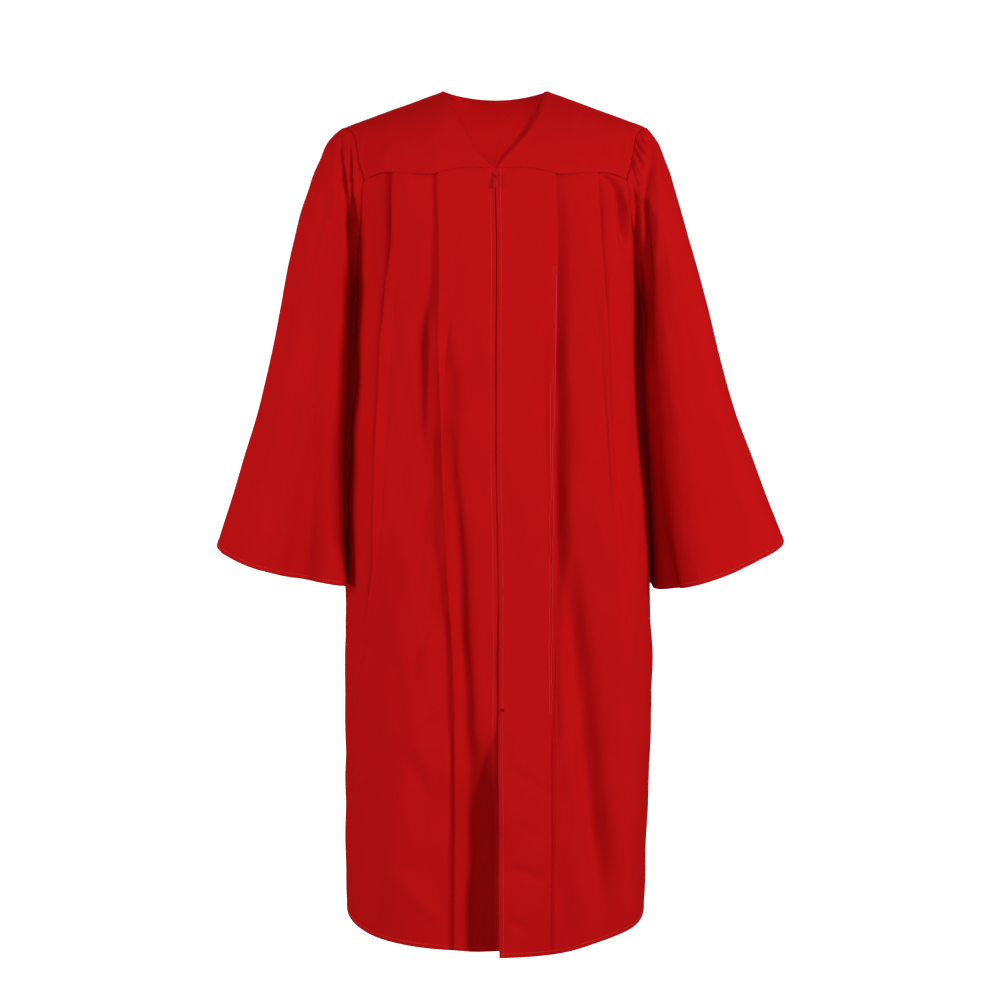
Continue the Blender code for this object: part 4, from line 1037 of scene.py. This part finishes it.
# cloth: a plain weave from two sine waves in the UV map's metres, slow clouds in the colour and
# faint puckers, given out as a colour, a roughness and a height in metres
def clothEffect():
    name, value, colour = "cloth surface", "NodeSocketFloat", "NodeSocketColor"
    tree, into, out = nodeGroup(
        name,
        (("Colour", colour, (*red, 1)), ("Threads", value, 2600.0), ("Cloudiness", value, 0.06),
         ("Roughness", value, 0.62)),
        (("Colour", colour), ("Roughness", value), ("Height", value)))
    flat = addNode(tree, "ShaderNodeUVMap", {"uv_map": "cloth"})
    split = addNode(tree, "ShaderNodeSeparateXYZ", Vector=flat.outputs[0])
    place = addNode(tree, "ShaderNodeTexCoord").outputs["Object"]
    waves = []
    for axis in (0, 1):
        turns = doMath(tree, "MULTIPLY", split.outputs[axis], into.outputs["Threads"])
        waves.append(doMath(tree, "SINE", doMath(tree, "MULTIPLY", turns, 2 * np.pi)))
    weave = doMath(tree, "MULTIPLY", waves[0], waves[1])
    clouds = addNode(tree, "ShaderNodeTexNoise", Vector=place, Scale=9.0, Detail=3.0, Roughness=0.55)
    puckers = addNode(tree, "ShaderNodeTexNoise", Vector=place, Scale=55.0, Detail=4.0, Roughness=0.6)
    shift = doMath(tree, "MULTIPLY", doMath(tree, "SUBTRACT", clouds.outputs[0], 0.5),
                   into.outputs["Cloudiness"])
    grain = doMath(tree, "MULTIPLY", weave, 0.02)
    bright = doMath(tree, "ADD", 1.0, doMath(tree, "ADD", doMath(tree, "MULTIPLY", shift, 2.0), grain))
    tinted = addNode(tree, "ShaderNodeHueSaturation", Color=into.outputs["Colour"], Value=bright)
    tree.links.new(tinted.outputs[0], out.inputs["Colour"])
    tree.links.new(doMath(tree, "ADD", into.outputs["Roughness"], shift), out.inputs["Roughness"])
    bumps = doMath(tree, "MULTIPLY", puckers.outputs[0], 0.00035)
    height = doMath(tree, "ADD", bumps, doMath(tree, "MULTIPLY", weave, 0.00001))
    tree.links.new(height, out.inputs["Height"])
    return tree


# a Principled material whose colour, roughness and bump come from the cloth group
def clothMaterial(name, effect, sheen=0.02, **inputs):
    made = bpy.data.materials.new(name)
    made.use_nodes = True
    tree = made.node_tree
    shader = tree.nodes["Principled BSDF"]
    group = addNode(tree, "ShaderNodeGroup", {"node_tree": effect})
    for key, value in inputs.items():
        group.inputs[key].default_value = value
    bump = addNode(tree, "ShaderNodeBump", Distance=1.0, Strength=0.6, Height=group.outputs["Height"])
    tree.links.new(group.outputs["Colour"], shader.inputs["Base Color"])
    tree.links.new(group.outputs["Roughness"], shader.inputs["Roughness"])
    tree.links.new(bump.outputs[0], shader.inputs["Normal"])
    shader.inputs["Specular IOR Level"].default_value = 0.0
    shader.inputs["Sheen Weight"].default_value = sheen
    shader.inputs["Sheen Roughness"].default_value = 0.4
    shader.inputs["Sheen Tint"].default_value = (1.0, 0.10, 0.09, 1)
    return made


# a plain Principled material
def plainMaterial(name, colour, roughness, specular=0.5):
    made = bpy.data.materials.new(name)
    made.use_nodes = True
    shader = made.node_tree.nodes["Principled BSDF"]
    shader.inputs["Base Color"].default_value = (*colour, 1)
    shader.inputs["Roughness"].default_value = roughness
    shader.inputs["Specular IOR Level"].default_value = specular
    return made


clothGroup = clothEffect()
gownCloth = clothMaterial("gown cloth", clothGroup)

# the cloth pieces
halves = {half: panelGrid(half) for half in ("frontRight", "frontLeft", "backRight", "backLeft")}
backMiddle = 0.5 * (halves["backLeft"][:, :1] + halves["backRight"][:, :1])
backPoints = (halves["backLeft"][:, :0:-1], backMiddle, halves["backRight"][:, 1:])
frontRight = clothPiece("gown_front_panel_right", halves["frontRight"][:, ::-1], gownCloth,
                        "front_panel_right")
frontLeft = clothPiece("gown_front_panel_left", halves["frontLeft"], gownCloth, "front_panel_left")
backPanel = clothPiece("gown_back_panel", np.concatenate(backPoints, 1), gownCloth, "back_panel")
print("panels built")
yokeRight = clothPiece("gown_front_yoke_right", frontYokeGrid(-1, yokeCreases["right"]), gownCloth,
                       "front_yoke_right")
yokeLeft = clothPiece("gown_front_yoke_left", frontYokeGrid(1, yokeCreases["left"]), gownCloth,
                      "front_yoke_left")
yokeBack = clothPiece("gown_back_yoke", backYokeGrid(), gownCloth, "back_yoke")
sleeveGrids = {side: sleeveGrid(side) for side in (-1, 1)}
sleeveRight = clothPiece("gown_sleeve_right", sleeveGrids[-1], gownCloth, "sleeve_right", closed=True)
sleeveLeft = clothPiece("gown_sleeve_left", sleeveGrids[1], gownCloth, "sleeve_left", closed=True)
print("yokes and sleeves built")

# the zip
zipParts = {
    "tapeWidth": 0.0240,
    "tapeThick": 0.0008,
    "top": -0.1185,
    "end": -0.9160,
    "behind": 0.0018,        # how far the tape lies behind the fronts' outside
    "pitch": 0.00135,        # between the coil's turns on one side
    "turnReach": 0.0021,     # length of one turn of the coil across the zip
    "turnRadius": 0.00042,
    "stitch": (0.0024, 0.0031, 0.00022),  # a stitch's length, the pitch and its radius
    "pullAxis": (0, -0.120188, -0.123935),
    "sliderTilt": 0.18944,   # how far the front slopes at the slider, in radians
    "plate": (0.0074, 0.0014, 0.0100),
    "bridge": (0.0015, 0.0021, 0.0021),   # its wire's width and its arch's half height and depth
    "pullHalf": (0.0026, 0.0034),
    "pullLength": 0.0185,
    "pullThick": 0.0011,
    "window": (0.0017, 0.0037),
}


# many like capsules in one mesh: rings round an axis with a point at each end, copied to every
# centre along its own axis. place = centre + along * a + side * b + out * c
def capsules(name, centres, along, out, length, radius, sides=5):
    along = along / np.linalg.norm(along, axis=-1, keepdims=True)
    side = np.cross(out, along)
    side = side / np.linalg.norm(side, axis=-1, keepdims=True)
    out = np.cross(along, side)
    turn = np.arange(sides) * 2 * np.pi / sides
    ring = np.stack((np.cos(turn), np.sin(turn)), -1) * radius
    reach = length / 2 - radius * 0.6
    local = [(-length / 2, 0, 0)] + [(end * reach, *spot) for end in (-1, 1) for spot in ring]
    local = np.array(local + [(length / 2, 0, 0)])
    frames = np.stack((along, side, out), 1)
    points = centres[:, None] + np.einsum("kj,njd->nkd", local, frames)
    step = np.arange(sides)
    after = (step + 1) % sides
    last = 2 * sides + 1
    first = np.stack((0 * step, 1 + after, 1 + step), -1)
    end = np.stack((0 * step + last, 1 + sides + step, 1 + sides + after), -1)
    wallA = np.stack((1 + step, 1 + after, 1 + sides + after), -1)
    wallB = np.stack((1 + step, 1 + sides + after, 1 + sides + step), -1)
    faces = np.concatenate((first, end, wallA, wallB))
    faces = faces[None] + (np.arange(len(centres)) * (last + 1))[:, None, None]
    mesh = bpy.data.meshes.new(name)
    mesh.from_pydata(points.reshape(-1, 3), [], faces.reshape(-1, 3))
    mesh.shade_smooth()
    return mesh


# stitches along a line of points that lies on the cloth: centres at even steps, set a little out
def stitchLine(line, normals):
    length, pitch, radius = zipParts["stitch"]
    marks = np.concatenate(([0], np.cumsum(np.linalg.norm(np.diff(line, axis=0), axis=1))))
    at = np.arange(pitch, marks[-1] - pitch, pitch)
    centres, out, ahead, back = (
        np.stack([np.interp(spot, marks, rows[:, k]) for k in range(3)], -1)
        for spot, rows in ((at, line), (at, normals), (at + 0.4 * pitch, line), (at - 0.4 * pitch, line)))
    return centres + out * radius * 0.5, ahead - back, out


# stitches of several lines as one piece
def stitches(name, lines):
    length, pitch, radius = zipParts["stitch"]
    rows = [np.concatenate(parts) for parts in zip(*(stitchLine(*line) for line in lines))]
    return piece(name, capsules(name, *rows, length, radius), threadRed)


# the line on a grid at a fixed distance from its first column (axis 1) or its last row (axis 0)
def offsetLine(points, distance, axis):
    grid = points if axis == 1 else points[::-1].transpose(1, 0, 2)
    marks, normals = gridLengths(grid, 1), gridNormals(points)
    normals = normals if axis == 1 else normals[::-1].transpose(1, 0, 2)
    reach = distance + np.zeros(len(grid))
    k = (marks < reach[:, None]).sum(axis=1).clip(1, marks.shape[1] - 1)
    row = np.arange(len(grid))
    t = ((reach - marks[row, k - 1]) / (marks[row, k] - marks[row, k - 1]))[:, None]
    line = grid[row, k - 1] * (1 - t) + grid[row, k] * t
    return line, normals[row, k]


# the tape: a strip laid on the body, set back behind the fronts
def tapeGrid():
    z = np.linspace(zipParts["top"], zipParts["end"], 120)[:, None]
    x = np.linspace(-0.5, 0.5, 15)[None, :] * zipParts["tapeWidth"]
    turn = turnAt(x + 0 * z, z + 0 * x)
    return bodyPoint(turn, z + 0 * x) - bodyOut(turn, z + 0 * x) * zipParts["behind"]


# the coil: turns that lie across the zip, those of one side between those of the other
def coilMesh(name):
    z = np.arange(-0.1315, zipParts["end"], -zipParts["pitch"] / 2)
    side = np.where(np.arange(len(z)) % 2 == 0, 1.0, -1.0)
    x = side * 0.32 * zipParts["turnReach"]
    turn = turnAt(x, z)
    out = bodyOut(turn, z)
    centres = bodyPoint(turn, z) - out * 0.0009
    along = np.stack((np.ones_like(x), 0 * x, 0.10 * side), -1)
    return capsules(name, centres, along, out, zipParts["turnReach"], zipParts["turnRadius"])


# a rounded block: a superellipsoid, x = a cos^e v cos^e u, z = b cos^e v sin^e u, y = c sin^e v
def roundedBlock(size, power=0.3, around=40, across=18):
    u = np.linspace(0, 2 * np.pi, around, endpoint=False)[None, :]
    v = np.linspace(-0.499 * np.pi, 0.499 * np.pi, across)[:, None]

    def shaped(value):
        return np.sign(value) * np.abs(value) ** power

    x = size[0] / 2 * shaped(np.cos(v)) * shaped(np.cos(u))
    z = size[2] / 2 * shaped(np.cos(v)) * shaped(np.sin(u))
    return np.stack((x, size[1] / 2 * shaped(np.sin(v)) + 0 * x, z), -1)


# grids in the slider's own frame turned by its tilt and moved to its place
def onSlider(points, centre):
    cosine, sine = np.cos(zipParts["sliderTilt"]), np.sin(zipParts["sliderTilt"])
    x, y, z = points[..., 0], points[..., 1], points[..., 2]
    return np.stack((x, y * cosine + z * sine, z * cosine - y * sine), -1) + np.array(centre)


# closed grids joined into one mesh, their ends capped with one face each
def closedMesh(name, grids):
    verts, faces, start = [], [], 0
    for points in grids:
        rows, columns = points.shape[:2]
        index = np.arange(rows * columns).reshape(rows, columns) + start
        ring = np.concatenate((index, index[:, :1]), 1)
        corners = (ring[:-1, :-1], ring[:-1, 1:], ring[1:, 1:], ring[1:, :-1])
        faces += np.stack(corners, -1).reshape(-1, 4).tolist()
        faces += [index[0, ::-1].tolist(), index[-1].tolist()]
        verts.append(points.reshape(-1, 3))
        start += rows * columns
    mesh = bpy.data.meshes.new(name)
    mesh.from_pydata(np.concatenate(verts), [], faces)
    shape = bmesh.new()
    shape.from_mesh(mesh)
    bmesh.ops.recalc_face_normals(shape, faces=shape.faces)
    shape.to_mesh(mesh)
    shape.free()
    mesh.shade_smooth()
    return mesh


# a wire of round section carried along a path in the plane x = 0
def wireGrid(path, halfWidth, halfThick, sides=12):
    ahead = np.gradient(path, axis=0)
    ahead = ahead / np.linalg.norm(ahead, axis=-1, keepdims=True)
    side = np.array((1.0, 0, 0))
    out = np.cross(ahead, side)
    turn = np.linspace(0, 2 * np.pi, sides, endpoint=False)[None, :, None]
    return path[:, None] + side * halfWidth * np.cos(turn) + out[:, None] * halfThick * np.sin(turn)


# the slider: a rounded plate, a smaller one on it, and the arch that holds the pull
def sliderMesh(name):
    plate = zipParts["plate"]
    width, high, deep = zipParts["bridge"]
    face = -0.00095 - plate[1]
    base = roundedBlock(plate) + np.array((0, -0.00095 - plate[1] / 2, 0))
    boss = roundedBlock((plate[0] * 0.62, 0.0010, plate[2] * 0.80), 0.5) + np.array((0, face, 0))
    turn = np.linspace(0, np.pi, 22)
    arch = np.stack((0 * turn, face + 0.0002 - deep * np.sin(turn) ** 0.7, high * np.cos(turn)), -1)
    spot = bodyPoint(np.array(0.0), np.array(-0.1245))
    return closedMesh(name, [onSlider(part, spot) for part in (base, boss, wireGrid(arch, width / 2, 0.00045))])


# the pull: a flat ring between its outline and its window, its section a rounded oblong
def pullMesh(name):
    topHalf, endHalf = zipParts["pullHalf"]
    length, thick = zipParts["pullLength"], zipParts["pullThick"]
    halfWindow, windowEnd = zipParts["window"]
    turn = np.linspace(0, 2 * np.pi, 56, endpoint=False)

    def oblong(halfWidth, top, bottom, power):
        cosine, sine = np.cos(turn), np.sin(turn)
        high = (top + bottom) / 2 + (top - bottom) / 2 * np.sign(sine) * np.abs(sine) ** power
        return np.sign(cosine) * np.abs(cosine) ** power * halfWidth, high

    outerX, outerZ = oblong(1.0, 0.0009, -length, 0.42)
    taper = np.clip(-outerZ / length, 0, 1)
    outer = np.stack((outerX * (topHalf + (endHalf - topHalf) * taper), outerZ), -1)
    inner = np.stack(oblong(halfWindow, -0.0004, -windowEnd, 0.5), -1)
    bevel = 0.0003
    section = ((bevel, 1), (0, 1 - bevel * 2 / thick), (0, bevel * 2 / thick - 1), (bevel, -1),
               (-bevel, -1), (None, bevel * 2 / thick - 1), (None, 1 - bevel * 2 / thick), (-bevel, 1))
    width = np.linalg.norm(inner - outer, axis=-1, keepdims=True)
    rings = []
    for inset, height in section:
        share = 1.0 if inset is None else (inset / width if inset >= 0 else 1 + inset / width)
        flat = outer + (inner - outer) * share
        rings.append(np.stack((flat[:, 0], np.full(len(flat), height * thick / 2), flat[:, 1]), -1))
    points = onSlider(np.array(rings + rings[:1]), zipParts["pullAxis"])
    mesh = gridMesh(name, points, closed=True)
    shape = bmesh.new()
    shape.from_mesh(mesh)
    bmesh.ops.remove_doubles(shape, verts=shape.verts, dist=0.000001)
    bmesh.ops.recalc_face_normals(shape, faces=shape.faces)
    shape.to_mesh(mesh)
    shape.free()
    return mesh


tapeCloth = clothMaterial("zip tape", clothGroup, Threads=1500.0, Roughness=0.7)
coilRed = plainMaterial("zip coil", (0.46, 0.006, 0.007), 0.5, 0.1)
threadRed = plainMaterial("thread", (0.78, 0.060, 0.060), 0.5, 0.2)
tackRed = plainMaterial("tack thread", (0.36, 0.004, 0.004), 0.8, 0.0)
paintRed = plainMaterial("painted zinc", (0.52, 0.006, 0.007), 0.55, 0.04)
tape = clothPiece("zip_tape_cloth", tapeGrid(), tapeCloth, "zip_tape", wall=zipParts["tapeThick"])
coil = piece("zip_coil", coilMesh("zip_coil"), coilRed)
slider = piece("zip_slider_body", sliderMesh("zip_slider_body"), paintRed)
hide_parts("zip_slider")
pull = piece("zip_pull_tab", pullMesh("zip_pull_tab"), paintRed, rider="pull_tab")
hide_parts("zip_pull")
print("zip built")

# sewing
sewing = {
    "fromEdge": 0.0068,      # from the fronts' middle edges to their stitching
    "fromHem": 0.0064,
    "besidePleat": (0.0022, 0.0066),   # two rows along the wearer's left inner pleat
    "pleatSpan": (-0.250, -0.930),
    "tackColumns": (0.0036, 0.0047, 0.0058, 0.0069, 0.0080),   # from the edge, at the zip's end
    "tackZ": -0.9130,
    "tackLength": 0.0050,
}


# the two rows beside a crest: the column whose fold stands at crestX, then a distance back from it
def pleatLines(points, rows):
    z = points[:, 0, 2]
    keep = (z < sewing["pleatSpan"][0]) & (z > sewing["pleatSpan"][1])
    crestX = smooth(rows, "crestX", points[..., 2])
    past = (points[..., 0] >= crestX - 0.0006).argmax(axis=1)
    marks, normals = gridLengths(points, 1), gridNormals(points)
    row = np.arange(len(points))
    found = []
    for distance in sewing["besidePleat"]:
        reach = marks[row, past] - distance
        k = (marks < reach[:, None]).sum(axis=1)
        found.append((points[row, k][keep], normals[row, k][keep]))
    return found


def hemLine(points):
    return offsetLine(points, sewing["fromHem"], 0)


# the bar tack at the zip's end: long stitches side by side, across the front's middle edge
def barTack(name, points):
    lines = [offsetLine(points, near, 1) for near in sewing["tackColumns"]]
    row = np.abs(points[:, 0, 2] - sewing["tackZ"]).argmin()
    centres, out = (np.array([line[k][row] for line in lines]) for k in (0, 1))
    along = np.array([line[row + 1] - line[row - 1] for line, _ in lines])
    radius = 0.0006
    mesh = capsules(name, centres + out * radius * 0.6, along, out, sewing["tackLength"], radius)
    return piece(name, mesh, tackRed)


sewn = {
    "right": stitches("stitches_front_right", [
        offsetLine(halves["frontRight"], sewing["fromEdge"], 1), hemLine(halves["frontRight"])]),
    "left": stitches("stitches_front_left", [
        offsetLine(halves["frontLeft"], sewing["fromEdge"], 1), hemLine(halves["frontLeft"]),
        *pleatLines(halves["frontLeft"], pleats["frontLeft"][0])]),
    "back": stitches("stitches_back", [hemLine(np.concatenate(backPoints, 1))]),
    "sleeveRight": stitches("stitches_cuff_right", [hemLine(sleeveGrids[-1])]),
    "sleeveLeft": stitches("stitches_cuff_left", [hemLine(sleeveGrids[1])]),
}
tack = barTack("bar_tack", halves["frontLeft"])
print("sewing built")

# light, floor and camera
# floor and backdrop in one: a level sheet that curves up into a wall
def backdrop(floorZ, front, wall, halfWidth, height, radius):
    turn = np.linspace(0, np.pi / 2, 24)
    curve = [(-front, floorZ)] + [
        (wall - radius + radius * np.sin(t), floorZ + radius - radius * np.cos(t)) for t in turn]
    curve = np.array(curve + [(wall, floorZ + height)])
    points = np.stack([np.column_stack((0 * curve[:, 0] + x, curve)) for x in (-halfWidth, halfWidth)])
    return points


paper = plainMaterial("backdrop paper", (0.92, 0.92, 0.92), 0.9)
glow = paper.node_tree.nodes["Principled BSDF"].inputs
glow["Emission Color"].default_value = (1, 1, 1, 1)
glow["Emission Strength"].default_value = 0.90
floor = bpy.data.objects.new("backdrop", gridMesh("backdrop", backdrop(-1.52, 6.0, 4.5, 9.0, 9.0, 2.0)))
floor.data.materials.append(paper)
floor.visible_diffuse = floor.visible_glossy = False
scene.collection.objects.link(floor)


# a soft light aimed at a point: a square one, or a spot of that size
def softLight(name, place, aim, size, watts, kind="AREA"):
    data = bpy.data.lights.new(name, kind)
    data.energy = watts
    if kind == "AREA":
        data.shape, data.size = "SQUARE", size
    else:
        data.shadow_soft_size = size / 2
    made = bpy.data.objects.new(name, data)
    made.location = place
    made.rotation_euler = (Vector(aim) - Vector(place)).to_track_quat("-Z", "Y").to_euler()
    made.visible_camera = False
    scene.collection.objects.link(made)
    return made


lights = [
    softLight("key light", (2.8, -2.2, 0.3), (0, 0, -0.6), 0.9, 72),
    softLight("left light", (-3.1, -1.3, 0.0), (0, 0, -0.6), 1.0, 49),
    softLight("front light", (0.1, -3.7, 0.1), (0, 0, -0.6), 1.0, 20),
    softLight("back light right", (-1.0, 3.0, 1.9), (0, 0, -0.6), 0.8, 40),
    softLight("back light left", (0.8, 3.0, 1.6), (0, 0, -0.6), 0.8, 58),
    softLight("neck light", (0.3, -2.6, -0.9), (0, 0.1, -0.05), 0.4, 215, "SPOT"),
]
lights[-1].data.spot_size, lights[-1].data.spot_blend = np.radians(14), 1.0
# the neck light reaches only the inside of the back, which the fronts shade from the others and
# would shade from it too
lit = bpy.data.collections.new("lit by the neck light")
lit.objects.link(yokeBack)
lit.objects.link(backPanel)
lights[-1].light_linking.receiver_collection = lit
lights[-1].light_linking.blocker_collection = lit
world = bpy.data.worlds.new("studio")
world.use_nodes = True
world.node_tree.nodes["Background"].inputs["Color"].default_value = (1, 1, 1, 1)
world.node_tree.nodes["Background"].inputs["Strength"].default_value = 0.25
scene.world = world

eye = bpy.data.cameras.new("camera")
eye.lens, eye.sensor_width = 70.70, 36
eyeObject = bpy.data.objects.new("camera", eye)
eyeObject.location = (0.0069, -3.0, -0.12)
eyeObject.rotation_euler = (np.radians(90 - 9.47), 0, 0)
scene.collection.objects.link(eyeObject)
scene.camera = eyeObject
scene.view_settings.view_transform = "Standard"
